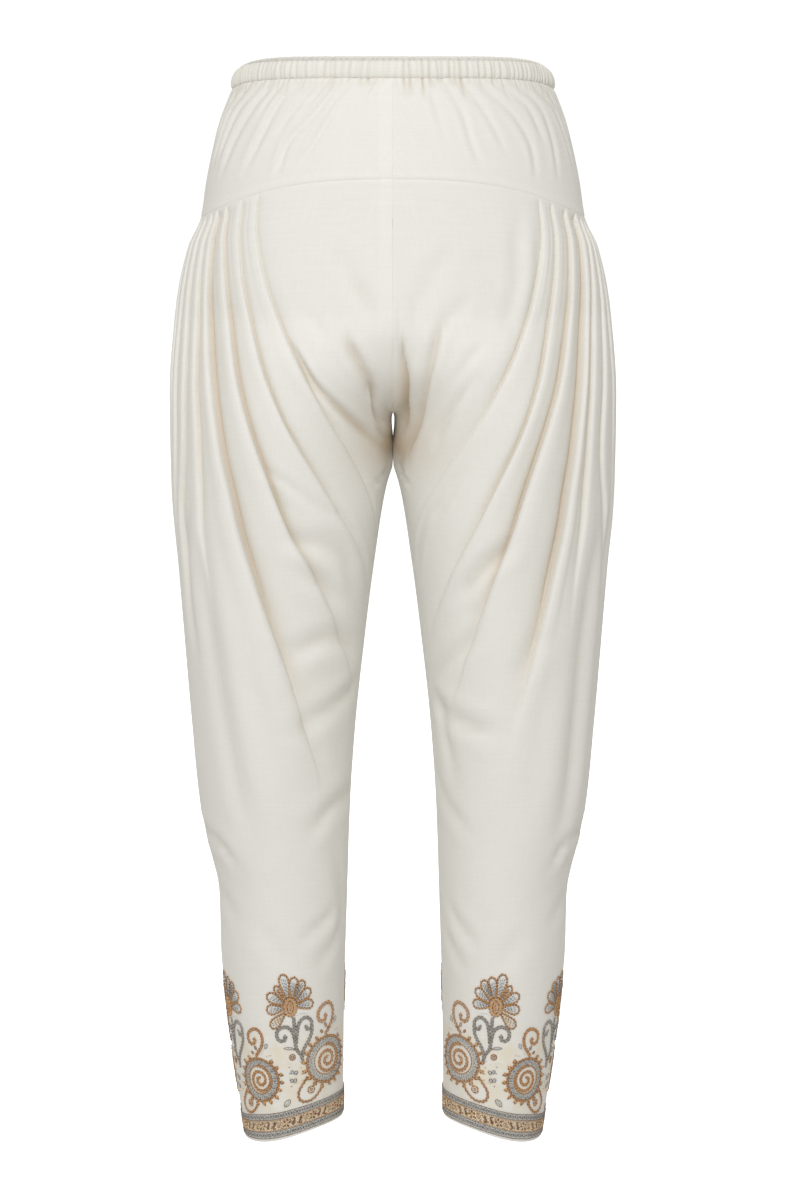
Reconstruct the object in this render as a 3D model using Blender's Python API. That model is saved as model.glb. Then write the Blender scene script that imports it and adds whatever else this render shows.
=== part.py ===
"""Churidar trousers with a gathered hip yoke, side pleats and tapered legs.

The empty garment keeps the hollow shape it has when worn. +Z is up, the front faces -Y, and the origin is the
middle of the waist opening, level with the waistband's top front edge. "right" and "left" are the wearer's.
Nine cut pieces: an elastic waistband, four hip yokes and four leg panels, each a closed wall of cloth.
All sizes below are in millimetres; heights are drops below the waist.
"""

import bisect
import math
from collections import namedtuple

import bmesh
import bpy

MM = 0.001

CLOTH_WALL = 1.5
SEAM_GAP = 0.3

WAIST_HALF_WIDTH = 143.4
WAIST_HALF_DEPTH = 101.5
WAIST_FRONT_TOP = 0.0
WAIST_BACK_TOP = 4.0
WAIST_SIDE_TOP = -10.2
WAIST_SEAM_CENTRE = 15.3
WAIST_SEAM_SIDE = 26.5
BAND_WALL = 3.6
BAND_RIPPLES = 110
BAND_RIPPLE_DEPTH = 1.5
BAND_STEPS_PER_RIPPLE = 3
BAND_SMOOTH_HALF_ANGLE = 5.0

YOKE_TOP = 26.8
YOKE_HEM = 138.25
YOKE_COLUMNS = 32
YOKE_ROWS = 5
YOKE_GATHERS = 12
YOKE_GATHER_DEPTH = 1.5

LEG_TOP = 138.55
LEG_ROWS = (
    138.55, 141.5, 150.0, 168.0, 196.0, 228.0, 258.0, 288.0, 318.0, 350.0, 360.0, 378.0,
    402.0, 432.0, 468.0, 510.0, 560.0, 620.0, 690.0, 740.0, 766.0, 830.0, 904.0, 981.0,
)
FLAT_COLUMNS = 6
INNER_FADE = 42.0
SEAM_MARGIN = 4.0
LEAST_COLUMN_GAP = 2.0

# Half width of the garment at each drop of the side seam: waist, hip, thigh, knee, calf and hem.
WidthRow = namedtuple("WidthRow", "drop half_width")
HALF_WIDTHS = (
    WidthRow(26.5, 143.4),
    WidthRow(53.0, 153.4),
    WidthRow(106.0, 166.0),
    WidthRow(138.4, 171.0),
    WidthRow(141.5, 171.8),
    WidthRow(165.0, 182.8),
    WidthRow(220.0, 194.3),
    WidthRow(300.0, 200.3),
    WidthRow(378.0, 199.3),
    WidthRow(457.0, 193.2),
    WidthRow(595.0, 182.6),
    WidthRow(669.0, 175.8),
    WidthRow(706.0, 168.7),
    WidthRow(743.0, 159.8),
    WidthRow(762.0, 158.1),
    WidthRow(799.0, 157.6),
    WidthRow(855.0, 153.0),
    WidthRow(981.0, 136.3),
)

# The inner line: centre seam, crotch curve and inseam. "turn" is how far the row wraps past the centre line
# in degrees, so 0 is a centre seam and 90 is a leg closed on its inseam.
InnerRow = namedtuple("InnerRow", "drop inner_drop inner_x turn")
INNER_LINE = (
    InnerRow(26.5, 15.3, 0.15, 0.0),
    InnerRow(106.0, 80.5, 0.15, 0.0),
    InnerRow(138.4, 101.6, 0.15, 0.0),
    InnerRow(165.0, 143.0, 0.15, 0.0),
    InnerRow(220.0, 215.0, 0.15, 0.0),
    InnerRow(252.5, 253.7, 0.51, 22.5),
    InnerRow(285.0, 286.4, 0.82, 45.0),
    InnerRow(317.5, 308.3, 1.03, 67.5),
    InnerRow(350.0, 316.0, 1.10, 90.0),
    InnerRow(359.0, 327.0, 2.60, 90.0),
    InnerRow(378.0, 350.0, 1.15, 90.0),
    InnerRow(398.0, 375.0, 5.30, 90.0),
    InnerRow(457.0, 448.0, 17.3, 90.0),
    InnerRow(521.0, 519.0, 26.2, 90.0),
    InnerRow(595.0, 595.0, 34.4, 90.0),
    InnerRow(669.0, 669.0, 39.6, 90.0),
    InnerRow(762.0, 762.0, 42.8, 90.0),
    InnerRow(855.0, 854.0, 45.6, 90.0),
    InnerRow(981.0, 962.0, 46.8, 90.0),
)

# How far the cloth stands in front of and behind the side seam, and how far back the seam itself lies.
DepthRow = namedtuple("DepthRow", "drop front back shift")
DEPTHS = (
    DepthRow(26.5, 101.0, 102.0, 0.0),
    DepthRow(80.0, 110.0, 117.0, 0.0),
    DepthRow(138.4, 116.0, 129.0, 0.0),
    DepthRow(220.0, 120.0, 137.0, 0.0),
    DepthRow(350.0, 119.0, 130.0, 0.0),
    DepthRow(457.0, 111.0, 115.0, 2.0),
    DepthRow(595.0, 95.0, 99.0, 4.0),
    DepthRow(743.0, 76.0, 83.0, 5.0),
    DepthRow(855.0, 63.5, 69.0, 5.0),
    DepthRow(981.0, 52.0, 54.0, 5.0),
)

# Folds run from the yoke seam at the side down and round to the inner leg. Each row gives the angle of the
# fold's edge from the side seam, in degrees, at eight drops, then where it starts and fades out, how deep it
# is and how wide its gap is. A knife pleat stands proud of a gap on its centre side; a crease is a soft dip.
FOLD_DROPS = (142.0, 220.0, 290.0, 350.0, 420.0, 500.0, 600.0, 700.0)
Fold = namedtuple("Fold", "name at142 at220 at290 at350 at420 at500 at600 at700 start end depth gap")
FOLDS = {
    "front_right": (
        Fold("pleat_8", 4.0, 6.0, 8.0, 10.0, 12.0, 14.0, 16.0, 18.0, 138, 560, 3.0, 4.0),
        Fold("pleat_7", 9.5, 13.5, 18.0, 22.0, 26.0, 30.0, 35.0, 40.0, 138, 620, 4.0, 5.0),
        Fold("pleat_6", 15.0, 21.0, 29.0, 36.0, 41.0, 45.0, 54.0, 68.0, 138, 720, 5.0, 6.0),
        Fold("pleat_5", 21.0, 27.0, 42.0, 51.0, 58.0, 68.0, 84.0, 100.0, 138, 480, 5.0, 5.0),
        Fold("pleat_4", 26.0, 33.5, 50.0, 60.0, 70.0, 86.5, 117.0, 172.0, 138, 660, 9.0, 10.0),
        Fold("pleat_3", 32.0, 42.0, 65.0, 77.0, 97.0, 137.0, 176.0, 179.0, 138, 540, 8.0, 8.0),
        Fold("pleat_2", 39.5, 48.6, 78.4, 98.0, 130.0, 174.0, 178.0, 179.0, 138, 490, 7.0, 7.0),
        Fold("pleat_1", 46.0, 59.0, 97.0, 120.0, 166.0, 177.0, 179.0, 179.5, 138, 440, 6.0, 6.0),
        Fold("crease_2", 60.0, 74.0, 106.0, 137.0, 172.0, 178.0, 179.0, 179.6, 225, 400, 3.5, 0.0),
        Fold("crease_1", 76.0, 84.0, 128.0, 156.0, 175.0, 179.0, 179.4, 179.8, 225, 366, 3.0, 0.0),
    ),
    "front_left": (
        Fold("pleat_8", 2.8, 4.2, 5.8, 7.0, 8.0, 9.0, 10.0, 11.0, 138, 440, 2.5, 3.0),
        Fold("pleat_7", 6.0, 9.0, 12.0, 14.0, 15.0, 16.0, 18.0, 20.0, 138, 480, 3.0, 4.0),
        Fold("pleat_6", 10.0, 16.0, 20.0, 23.0, 24.0, 25.0, 27.0, 30.0, 138, 540, 4.0, 5.0),
        Fold("pleat_5", 14.0, 22.0, 32.0, 38.0, 41.0, 45.0, 54.0, 62.0, 138, 660, 5.0, 6.0),
        Fold("pleat_4", 19.0, 29.0, 44.6, 54.8, 62.0, 75.0, 98.0, 140.0, 138, 600, 9.0, 10.0),
        Fold("pleat_3", 27.9, 37.4, 58.7, 73.3, 89.6, 114.0, 160.0, 179.0, 138, 590, 8.0, 9.0),
        Fold("pleat_2", 35.1, 44.7, 69.0, 83.0, 104.7, 146.0, 178.0, 179.2, 138, 560, 7.0, 7.0),
        Fold("pleat_1", 40.5, 52.0, 86.3, 105.6, 160.0, 177.0, 179.0, 179.5, 138, 440, 6.0, 6.0),
        Fold("crease_2", 56.0, 70.0, 103.0, 130.0, 170.0, 178.0, 179.2, 179.6, 225, 400, 3.5, 0.0),
        Fold("crease_1", 78.0, 84.0, 125.0, 155.0, 175.0, 179.0, 179.4, 179.8, 225, 366, 3.0, 0.0),
    ),
    "back_right": (
        Fold("pleat_8", 4.0, 6.0, 8.0, 10.0, 12.0, 14.0, 16.0, 18.0, 138, 540, 3.0, 4.0),
        Fold("pleat_7", 10.0, 14.0, 19.0, 23.0, 27.0, 32.0, 38.0, 44.0, 138, 600, 4.0, 5.0),
        Fold("pleat_6", 16.0, 22.0, 30.0, 37.0, 43.0, 50.0, 60.0, 74.0, 138, 680, 5.0, 6.0),
        Fold("pleat_5", 22.0, 29.0, 40.0, 49.0, 57.0, 68.0, 86.0, 110.0, 138, 560, 6.0, 6.0),
        Fold("pleat_4", 28.0, 36.0, 51.0, 62.0, 73.0, 92.0, 126.0, 172.0, 138, 640, 8.0, 9.0),
        Fold("pleat_3", 34.0, 44.0, 63.0, 76.0, 96.0, 132.0, 174.0, 179.0, 138, 540, 8.0, 8.0),
        Fold("pleat_2", 40.0, 52.0, 76.0, 94.0, 126.0, 172.0, 178.0, 179.0, 138, 500, 7.0, 7.0),
        Fold("pleat_1", 47.0, 61.0, 92.0, 116.0, 162.0, 177.0, 179.0, 179.5, 138, 440, 6.0, 6.0),
        Fold("crease_2", 60.0, 74.0, 108.0, 138.0, 172.0, 178.0, 179.0, 179.6, 232, 410, 4.5, 0.0),
        Fold("crease_1", 76.0, 84.0, 127.0, 155.0, 175.0, 179.0, 179.4, 179.8, 240, 370, 3.5, 0.0),
    ),
    "back_left": (
        Fold("pleat_8", 3.6, 5.4, 7.6, 9.4, 11.0, 13.0, 15.0, 17.0, 138, 520, 3.0, 4.0),
        Fold("pleat_7", 9.0, 12.6, 17.6, 22.0, 26.0, 31.0, 37.0, 43.0, 138, 580, 4.0, 5.0),
        Fold("pleat_6", 14.6, 20.6, 28.6, 35.4, 41.6, 49.0, 59.0, 73.0, 138, 660, 5.0, 6.0),
        Fold("pleat_5", 20.6, 27.6, 38.8, 47.8, 56.0, 67.0, 86.0, 111.0, 138, 580, 6.0, 6.0),
        Fold("pleat_4", 27.0, 35.0, 50.0, 61.0, 72.0, 91.0, 125.0, 171.0, 138, 650, 8.0, 9.0),
        Fold("pleat_3", 33.4, 43.4, 62.6, 75.6, 95.6, 131.0, 173.0, 179.0, 138, 550, 8.0, 8.0),
        Fold("pleat_2", 39.8, 51.0, 75.0, 92.6, 124.0, 170.0, 178.0, 179.0, 138, 490, 7.0, 7.0),
        Fold("pleat_1", 45.6, 59.6, 90.0, 113.0, 160.0, 177.0, 179.0, 179.5, 138, 430, 6.0, 6.0),
        Fold("crease_2", 59.0, 73.0, 106.0, 136.0, 171.0, 178.0, 179.0, 179.6, 235, 405, 4.5, 0.0),
        Fold("crease_1", 77.0, 84.0, 126.0, 154.0, 175.0, 179.0, 179.4, 179.8, 240, 370, 3.5, 0.0),
    ),
}


def smooth_step(value, low, high):
    """0 below low, 1 above high, and an even ease between."""
    share = min(1.0, max(0.0, (value - low) / (high - low)))
    return share * share * (3.0 - 2.0 * share)


def curve(keys, values, at):
    """Smooth curve through the table's points that never overshoots them."""
    at = min(max(at, keys[0]), keys[-1])
    count = len(keys)
    steps = [(values[i + 1] - values[i]) / (keys[i + 1] - keys[i]) for i in range(count - 1)]
    slopes = [steps[0]] + [0.0] * (count - 2) + [steps[-1]]
    for i in range(1, count - 1):
        if steps[i - 1] * steps[i] > 0.0:
            before = keys[i] - keys[i - 1]
            after = keys[i + 1] - keys[i]
            near = 2.0 * after + before
            far = after + 2.0 * before
            slopes[i] = (near + far) / (near / steps[i - 1] + far / steps[i])
    i = min(max(bisect.bisect_right(keys, at) - 1, 0), count - 2)
    width = keys[i + 1] - keys[i]
    u = (at - keys[i]) / width
    start = (1.0 + 2.0 * u) * (1.0 - u) ** 2 * values[i] + u * (1.0 - u) ** 2 * width * slopes[i]
    end = u * u * (3.0 - 2.0 * u) * values[i + 1] + u * u * (u - 1.0) * width * slopes[i + 1]
    return start + end


def read(table, column, drop):
    """One named column of a table of rows, read at a drop."""
    return curve([row.drop for row in table], [getattr(row, column) for row in table], drop)


def side_nearness(forward):
    """0 at the centre front or back and 1 at the side, rounded there, from the cosine of the turn."""
    rounded = math.sqrt(forward * forward + 0.0144) - 0.12
    return 1.0 - rounded / (math.sqrt(1.0144) - 0.12)


def seam_share(reach, drop):
    """How far a row has sunk from the centre's drop towards the side's, at a share of the half width."""
    waist_line = side_nearness(math.sqrt(max(0.0, 1.0 - reach * reach))) ** 2
    yoke_line = max(0.0, (reach - 0.3) / 0.7) ** 1.6
    leg_line = reach * reach * (3.0 - 2.0 * reach)
    upper = waist_line + (yoke_line - waist_line) * smooth_step(drop, 26.5, 138.0)
    return upper + (leg_line - upper) * smooth_step(drop, 141.5, 220.0)


class Row:
    """One level line of a panel: an arc from the side seam round to the centre seam or inseam."""

    def __init__(self, face, drop):
        self.drop = drop
        self.facing = -1.0 if face == "front" else 1.0
        self.inner_drop = read(INNER_LINE, "inner_drop", drop)
        self.inner_x = read(INNER_LINE, "inner_x", drop)
        self.sweep = math.radians(90.0 + read(INNER_LINE, "turn", drop))
        self.half_width = read(HALF_WIDTHS, "half_width", drop)
        self.depth = read(DEPTHS, face, drop)
        self.shift = read(DEPTHS, "shift", drop)
        self.reach = (self.half_width - self.inner_x) / (1.0 - math.cos(self.sweep))
        self.middle = self.half_width - self.reach
        self.length = self.arc_length()

    def arc_length(self):
        points = [self.plain(self.sweep * i / 48.0) for i in range(49)]
        return sum(math.dist(points[i], points[i + 1]) for i in range(48))

    def plain(self, angle):
        """The unfolded surface at an angle from the side seam."""
        x = self.middle + self.reach * math.cos(angle)
        y = self.shift + self.facing * (self.depth * math.sin(angle) + 0.5 * SEAM_GAP)
        share = seam_share(max(0.0, (x - self.inner_x) / (self.half_width - self.inner_x)), self.drop)
        drop = self.inner_drop + (self.drop - self.inner_drop) * share
        return (x, y, -drop)

    def out(self, angle):
        """The level direction out of the cloth at an angle from the side seam."""
        across = self.depth * math.cos(angle)
        along = self.reach * math.sin(angle) * self.facing
        size = math.hypot(across, along)
        return (across / size, along / size)

    def place(self, angle, dip):
        """A point of the panel, sunk into the body by dip."""
        x, y, z = self.plain(angle)
        nx, ny = self.out(angle)
        return (x - nx * dip, y - ny * dip, z)

    def per_radian(self):
        return self.length / self.sweep


def fold_angle(fold, drop):
    angles = [getattr(fold, "at%d" % int(level)) for level in FOLD_DROPS]
    return math.radians(curve(FOLD_DROPS, angles, drop))


def fold_depth(fold, drop):
    """Depth of a fold at a drop: nothing at its start, soft full depth, and nothing where it fades out."""
    if fold.start <= LEG_TOP:
        rise = 0.6 * smooth_step(drop, 139.5, 156.0) + 0.4 * smooth_step(drop, 156.0, 300.0)
    else:
        rise = smooth_step(drop, fold.start, fold.start + 50.0)
    return fold.depth * rise * (1.0 - smooth_step(drop, fold.end - 110.0, fold.end))


def leg_row_columns(row, folds):
    """Angles and dips of one row's columns, from the side seam to the inner edge."""
    scale = row.per_radian()
    marks = [(0.0, 0.0, 1.0), (SEAM_MARGIN, 0.0, 1.0)]
    for fold in folds:
        edge = fold_angle(fold, row.drop) * scale
        depth = fold_depth(fold, row.drop)
        hold = 1.0 - smooth_step(row.drop, fold.end, fold.end + 160.0)
        if fold.gap > 0.0:
            gap = 2.6 + (fold.gap - 2.6) * smooth_step(row.drop, 145.0, 330.0)
            marks.append((edge, 0.0, hold))
            marks.append((edge + gap, depth, hold))
        else:
            marks.append((edge, depth, hold))
    last = marks[-1]
    free = row.length - SEAM_MARGIN
    for i in range(FLAT_COLUMNS):
        share = (i + 1.0) / (FLAT_COLUMNS + 1.0)
        marks.append((last[0] + (free - last[0]) * share, 0.0, last[2]))
    marks.append((free, 0.0, 1.0))
    marks.append((row.length, 0.0, 1.0))
    count = len(marks)
    places = []
    for i, (place, depth, hold) in enumerate(marks):
        even = row.length * i / (count - 1.0)
        places.append(even + (place - even) * hold)
    places[0] = 0.0
    places[1] = SEAM_MARGIN
    for i in range(2, count):
        places[i] = max(places[i], places[i - 1] + LEAST_COLUMN_GAP)
    places[-1] = row.length
    places[-2] = row.length - SEAM_MARGIN
    for i in range(count - 3, 1, -1):
        places[i] = min(places[i], places[i + 1] - LEAST_COLUMN_GAP)
    columns = []
    for i in range(count):
        side_fade = smooth_step(places[i], SEAM_MARGIN, SEAM_MARGIN + 7.0)
        inner_fade = smooth_step(row.length - places[i], SEAM_MARGIN, INNER_FADE)
        columns.append((places[i] / scale, marks[i][1] * side_fade * inner_fade))
    return columns


def leg_points(panel, side):
    """Rows of points of a leg panel, each from the side seam to the inner edge."""
    face = panel.split("_")[0]
    grid = []
    for drop in LEG_ROWS:
        row = Row(face, drop)
        line = [row.place(angle, dip) for angle, dip in leg_row_columns(row, FOLDS[panel])]
        grid.append([(side * x, y, z) for x, y, z in line])
    for row_points in grid[:2]:
        for i, (x, y, z) in enumerate(row_points):
            top = grid[0][i]
            row_points[i] = (top[0], top[1], z)
    return grid


def gather_dip(row, angle, seed):
    """Soft gathers that fan down and outwards from the waistband and die out in the yoke."""
    share = angle / row.sweep
    fan = share + 0.05 * (1.0 - share) * (row.drop - YOKE_TOP) / 60.0
    wander = 0.16 * math.sin(7.0 * fan + seed) + 0.10 * math.sin(17.0 * fan + 2.0 * seed)
    wave = 0.5 - 0.5 * math.cos(2.0 * math.pi * (YOKE_GATHERS * fan + wander))
    reach = 78.0 + 22.0 * math.sin(9.0 * fan + 3.0 * seed)
    fade = 1.0 - smooth_step(row.drop, YOKE_TOP, reach)
    place = angle * row.per_radian()
    edge = smooth_step(min(place, row.length - place), 3.0, 12.0)
    return YOKE_GATHER_DEPTH * wave * fade * edge


def along(line, angle):
    """A point on a line of (angle, point) pairs, at an angle."""
    for (start, near), (end, far) in zip(line, line[1:]):
        if angle <= end:
            share = (angle - start) / (end - start)
            return tuple(a + (b - a) * share for a, b in zip(near, far))
    return line[-1][1]


def yoke_points(panel, side, seed):
    """Rows of points of a hip yoke, each from the side seam to the centre seam.

    The lowest row lies along the leg panel's top edge, one seam gap above it.
    """
    face = panel.split("_")[0]
    leg_row = Row(face, LEG_TOP)
    leg_edge = [(angle, leg_row.place(angle, 0.0)) for angle, dip in leg_row_columns(leg_row, FOLDS[panel])]
    grid = []
    for i in range(YOKE_ROWS + 1):
        drop = YOKE_TOP + (YOKE_HEM - YOKE_TOP) * (i / YOKE_ROWS) ** 1.15
        row = Row(face, drop)
        line = []
        for j in range(YOKE_COLUMNS + 1):
            angle = row.sweep * j / YOKE_COLUMNS
            if i < YOKE_ROWS:
                line.append(row.place(angle, gather_dip(row, angle, seed)))
            else:
                x, y, z = along(leg_edge, angle)
                line.append((x, y, z + SEAM_GAP))
        grid.append([(side * x, y, z) for x, y, z in line])
    return grid


def cloth_material(name, colour, roughness):
    material = bpy.data.materials.new(name)
    material.use_nodes = True
    shader = material.node_tree.nodes["Principled BSDF"]
    shader.inputs["Base Color"].default_value = (*colour, 1.0)
    shader.inputs["Roughness"].default_value = roughness
    shader.inputs["Metallic"].default_value = 0.0
    return material


def finish(name, shape, material):
    mesh = bpy.data.meshes.new(name)
    shape.to_mesh(mesh)
    shape.free()
    mesh.materials.append(material)
    mesh.shade_smooth()
    piece = bpy.data.objects.new(name, mesh)
    bpy.context.scene.collection.objects.link(piece)
    return piece


def sheet_piece(name, grid, outward, material):
    """A grid bent onto rows of points, then thickened evenly both ways into a closed wall."""
    rows = len(grid)
    columns = len(grid[0])
    shape = bmesh.new()
    bmesh.ops.create_grid(shape, x_segments=columns - 1, y_segments=rows - 1, size=1.0)
    for vertex in shape.verts:
        column = round((vertex.co.x + 1.0) * 0.5 * (columns - 1))
        row = round((vertex.co.y + 1.0) * 0.5 * (rows - 1))
        x, y, z = grid[row][column]
        vertex.co = (x * MM, y * MM, z * MM)
    if outward < 0:
        bmesh.ops.reverse_faces(shape, faces=shape.faces[:])
    bmesh.ops.triangulate(shape, faces=shape.faces[:], quad_method="SHORT_EDGE", ngon_method="BEAUTY")
    piece = finish(name, shape, material)
    wall = piece.modifiers.new("cloth wall", "SOLIDIFY")
    wall.thickness = CLOTH_WALL * MM
    wall.offset = 0.0
    wall.use_even_offset = False
    return piece


def band_ripple(turn):
    """Ripples of the elastic casing by angle from the centre front, flat at the centre front."""
    degrees = math.degrees(abs(turn))
    sign = 1.0 if turn >= 0.0 else -1.0
    count = BAND_RIPPLES * (degrees / 360.0)
    wave = math.cos(2.0 * math.pi * count) * (0.8 + 0.2 * math.sin(5.0 * turn + sign))
    return wave * smooth_step(degrees, BAND_SMOOTH_HALF_ANGLE, BAND_SMOOTH_HALF_ANGLE + 3.0)


def band_point(turn, radial, height):
    """A point of the casing: angle from the centre front, inner to outer 0 to 1, lower to upper edge 0 to 1."""
    front = math.cos(turn) > 0.0
    end = WAIST_FRONT_TOP if front else WAIST_BACK_TOP
    nearness = side_nearness(math.cos(turn))
    top = end + (WAIST_SIDE_TOP - end) * nearness ** 2.6
    low = -WAIST_SEAM_CENTRE + (WAIST_SEAM_CENTRE - WAIST_SEAM_SIDE) * nearness ** 2 + 0.5 * SEAM_GAP
    drop_share = 1.0 - height
    half_width = WAIST_HALF_WIDTH - 1.6 + 1.6 * drop_share
    half_depth = WAIST_HALF_DEPTH - 1.0 + 1.0 * drop_share
    belly = 0.5 * math.sin(math.pi * height)
    thickness = BAND_WALL * (radial - 0.5)
    ripple = 0.5 * BAND_RIPPLE_DEPTH * band_ripple(turn) * (0.75 + 0.25 * math.sin(math.pi * height))
    nx = math.sin(turn) * half_depth
    ny = -math.cos(turn) * half_width
    size = math.hypot(nx, ny)
    out = thickness + ripple + belly
    x = half_width * math.sin(turn) + out * nx / size
    y = -half_depth * math.cos(turn) + out * ny / size
    z = low + (top - low) * height
    return (x * MM, y * MM, z * MM)


def waistband(material):
    """The casing: a small closed section carried once round the waist, then rippled."""
    section = ((1.0, 0.0), (1.0, 0.5), (1.0, 1.0), (0.0, 1.0), (0.0, 0.0))
    steps = BAND_RIPPLES * BAND_STEPS_PER_RIPPLE
    shape = bmesh.new()
    ring = [shape.verts.new((0.0, -(1.0 + radial), height)) for radial, height in section]
    edges = [shape.edges.new((ring[i], ring[(i + 1) % len(ring)])) for i in range(len(ring))]
    bmesh.ops.spin(
        shape, geom=ring + edges, cent=(0.0, 0.0, 0.0), axis=(0.0, 0.0, 1.0),
        angle=2.0 * math.pi, steps=steps, use_merge=True,
    )
    for vertex in shape.verts:
        x, y, height = vertex.co
        radial = round(math.hypot(x, y) - 1.0)
        vertex.co = band_point(math.atan2(x, -y), radial, height)
    bmesh.ops.recalc_face_normals(shape, faces=shape.faces[:])
    return finish("waistband", shape, material)


def build():
    ivory = (0.83, 0.81, 0.75)
    cloth = cloth_material("ivory cotton", ivory, 0.85)
    casing = cloth_material("ivory casing", (0.85, 0.83, 0.77), 0.85)
    waistband(casing)
    seeds = {"front_right": 0.4, "front_left": 1.7, "back_right": 2.9, "back_left": 4.1}
    for panel in FOLDS:
        face, hand = panel.split("_")
        side = 1.0 if hand == "left" else -1.0
        outward = side if face == "front" else -side
        yoke = yoke_points(panel, side, seeds[panel])
        sheet_piece("yoke_" + panel, yoke, outward, cloth)
        sheet_piece("leg_" + panel, leg_points(panel, side), outward, cloth)


for old in list(bpy.data.objects):
    bpy.data.objects.remove(old, do_unlink=True)
build()
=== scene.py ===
"""Churidar trousers in ivory cotton, dressed over the plain model.

An elastic waistband, four gathered hip yokes and four leg panels with side pleats, each cut piece a thin shell of
cloth, with thread embroidery round both hems. Lengths are millimetres and a drop is a depth below the waist. A turn
is the angle round a cut piece from its side seam, in degrees in the tables and in radians in the functions.
"""

import bisect
import math
import random
from collections import namedtuple

import bmesh
import bpy
import numpy as np
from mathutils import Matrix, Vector


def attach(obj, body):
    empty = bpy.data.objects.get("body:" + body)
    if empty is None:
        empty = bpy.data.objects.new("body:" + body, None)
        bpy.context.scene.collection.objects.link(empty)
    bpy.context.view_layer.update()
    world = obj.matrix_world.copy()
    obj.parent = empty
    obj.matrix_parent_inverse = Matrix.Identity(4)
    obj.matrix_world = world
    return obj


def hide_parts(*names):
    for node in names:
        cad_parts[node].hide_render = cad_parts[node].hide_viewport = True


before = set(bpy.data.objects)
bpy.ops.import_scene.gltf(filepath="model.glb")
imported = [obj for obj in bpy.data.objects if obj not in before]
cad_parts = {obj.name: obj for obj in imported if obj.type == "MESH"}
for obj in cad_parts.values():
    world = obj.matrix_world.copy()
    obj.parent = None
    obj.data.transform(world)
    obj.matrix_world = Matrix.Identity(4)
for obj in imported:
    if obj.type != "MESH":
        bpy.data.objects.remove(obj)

MM = 0.001
CLOTH_WALL = 1.1

# Drops of the two seams and of the hem, at the side of the leg.
CASING_SEAM = 26.5
YOKE_SEAM = 138.4
HEM = 981.0

# How far the cloth rolls in at a seam, and the strip of seam allowance that is pressed to one side behind it.
SEAM_SINK = 0.75
CENTRE_SEAM_SINK = 0.22
CENTRE_SEAM_REACH = 1.6
ALLOWANCE_PANELS = ("front_right", "back_left")
ALLOWANCE_WIDTH = 11.0
ALLOWANCE_RISE = 0.25

# Leg panels: even cloth along both edges, the steep wall of a fold, and the least way from one mark to the next.
MARGIN = 4.0
FOLD_WALL = 1.6
LEAST_STEP = 1.2

# How far out from the centre line the side seam lies.
WidthRow = namedtuple("WidthRow", "drop half_width")
HALF_WIDTHS = (
    WidthRow(CASING_SEAM, 143.4), WidthRow(53.0, 153.4), WidthRow(106.0, 166.0), WidthRow(YOKE_SEAM, 171.0),
    WidthRow(141.5, 171.8), WidthRow(165.0, 182.8), WidthRow(220.0, 194.3), WidthRow(300.0, 200.3),
    WidthRow(378.0, 199.3), WidthRow(457.0, 193.2), WidthRow(595.0, 182.6), WidthRow(669.0, 175.8),
    WidthRow(706.0, 168.7), WidthRow(743.0, 159.8), WidthRow(762.0, 158.1), WidthRow(799.0, 157.6),
    WidthRow(855.0, 153.0), WidthRow(HEM, 136.3),
)

# Centre seam, crotch curve and inseam: how low and how far out the inner edge lies, and how far a row wraps
# past the centre line.
InnerRow = namedtuple("InnerRow", "drop inner_drop inner_x wrap")
INNER_LINE = (
    InnerRow(CASING_SEAM, 15.3, 0.02, 0.0), InnerRow(106.0, 80.5, 0.02, 0.0), InnerRow(YOKE_SEAM, 101.6, 0.02, 0.0),
    InnerRow(165.0, 143.0, 0.02, 0.0), InnerRow(220.0, 215.0, 0.02, 0.0), InnerRow(252.5, 253.7, 0.02, 22.5),
    InnerRow(285.0, 286.4, 0.03, 45.0), InnerRow(317.5, 308.3, 0.06, 67.5), InnerRow(346.0, 315.0, 0.90, 90.0),
    InnerRow(352.0, 320.0, 2.50, 90.0), InnerRow(359.0, 328.0, 1.30, 90.0), InnerRow(366.0, 336.0, 0.50, 90.0),
    InnerRow(376.0, 347.0, 0.45, 90.0), InnerRow(387.0, 361.0, 0.80, 90.0), InnerRow(398.0, 375.0, 5.30, 90.0),
    InnerRow(457.0, 448.0, 17.3, 90.0), InnerRow(521.0, 519.0, 26.2, 90.0), InnerRow(595.0, 595.0, 34.4, 90.0),
    InnerRow(669.0, 669.0, 39.6, 90.0), InnerRow(762.0, 762.0, 42.8, 90.0), InnerRow(855.0, 854.0, 45.6, 90.0),
    InnerRow(HEM, 962.0, 46.8, 90.0),
)

# How far the front and back stand out from the middle of the leg, and how far back that middle lies.
DepthRow = namedtuple("DepthRow", "drop front back shift")
DEPTHS = (
    DepthRow(CASING_SEAM, 101.0, 102.0, 0.0), DepthRow(80.0, 110.0, 117.0, 0.0), DepthRow(YOKE_SEAM, 116.0, 129.0, 0.0),
    DepthRow(220.0, 120.0, 137.0, 0.0), DepthRow(350.0, 119.0, 130.0, 0.0), DepthRow(457.0, 111.0, 115.0, 2.0),
    DepthRow(595.0, 95.0, 99.0, 4.0), DepthRow(743.0, 76.0, 83.0, 5.0), DepthRow(855.0, 63.5, 69.0, 5.0),
    DepthRow(HEM, 52.0, 54.0, 5.0),
)

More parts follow.
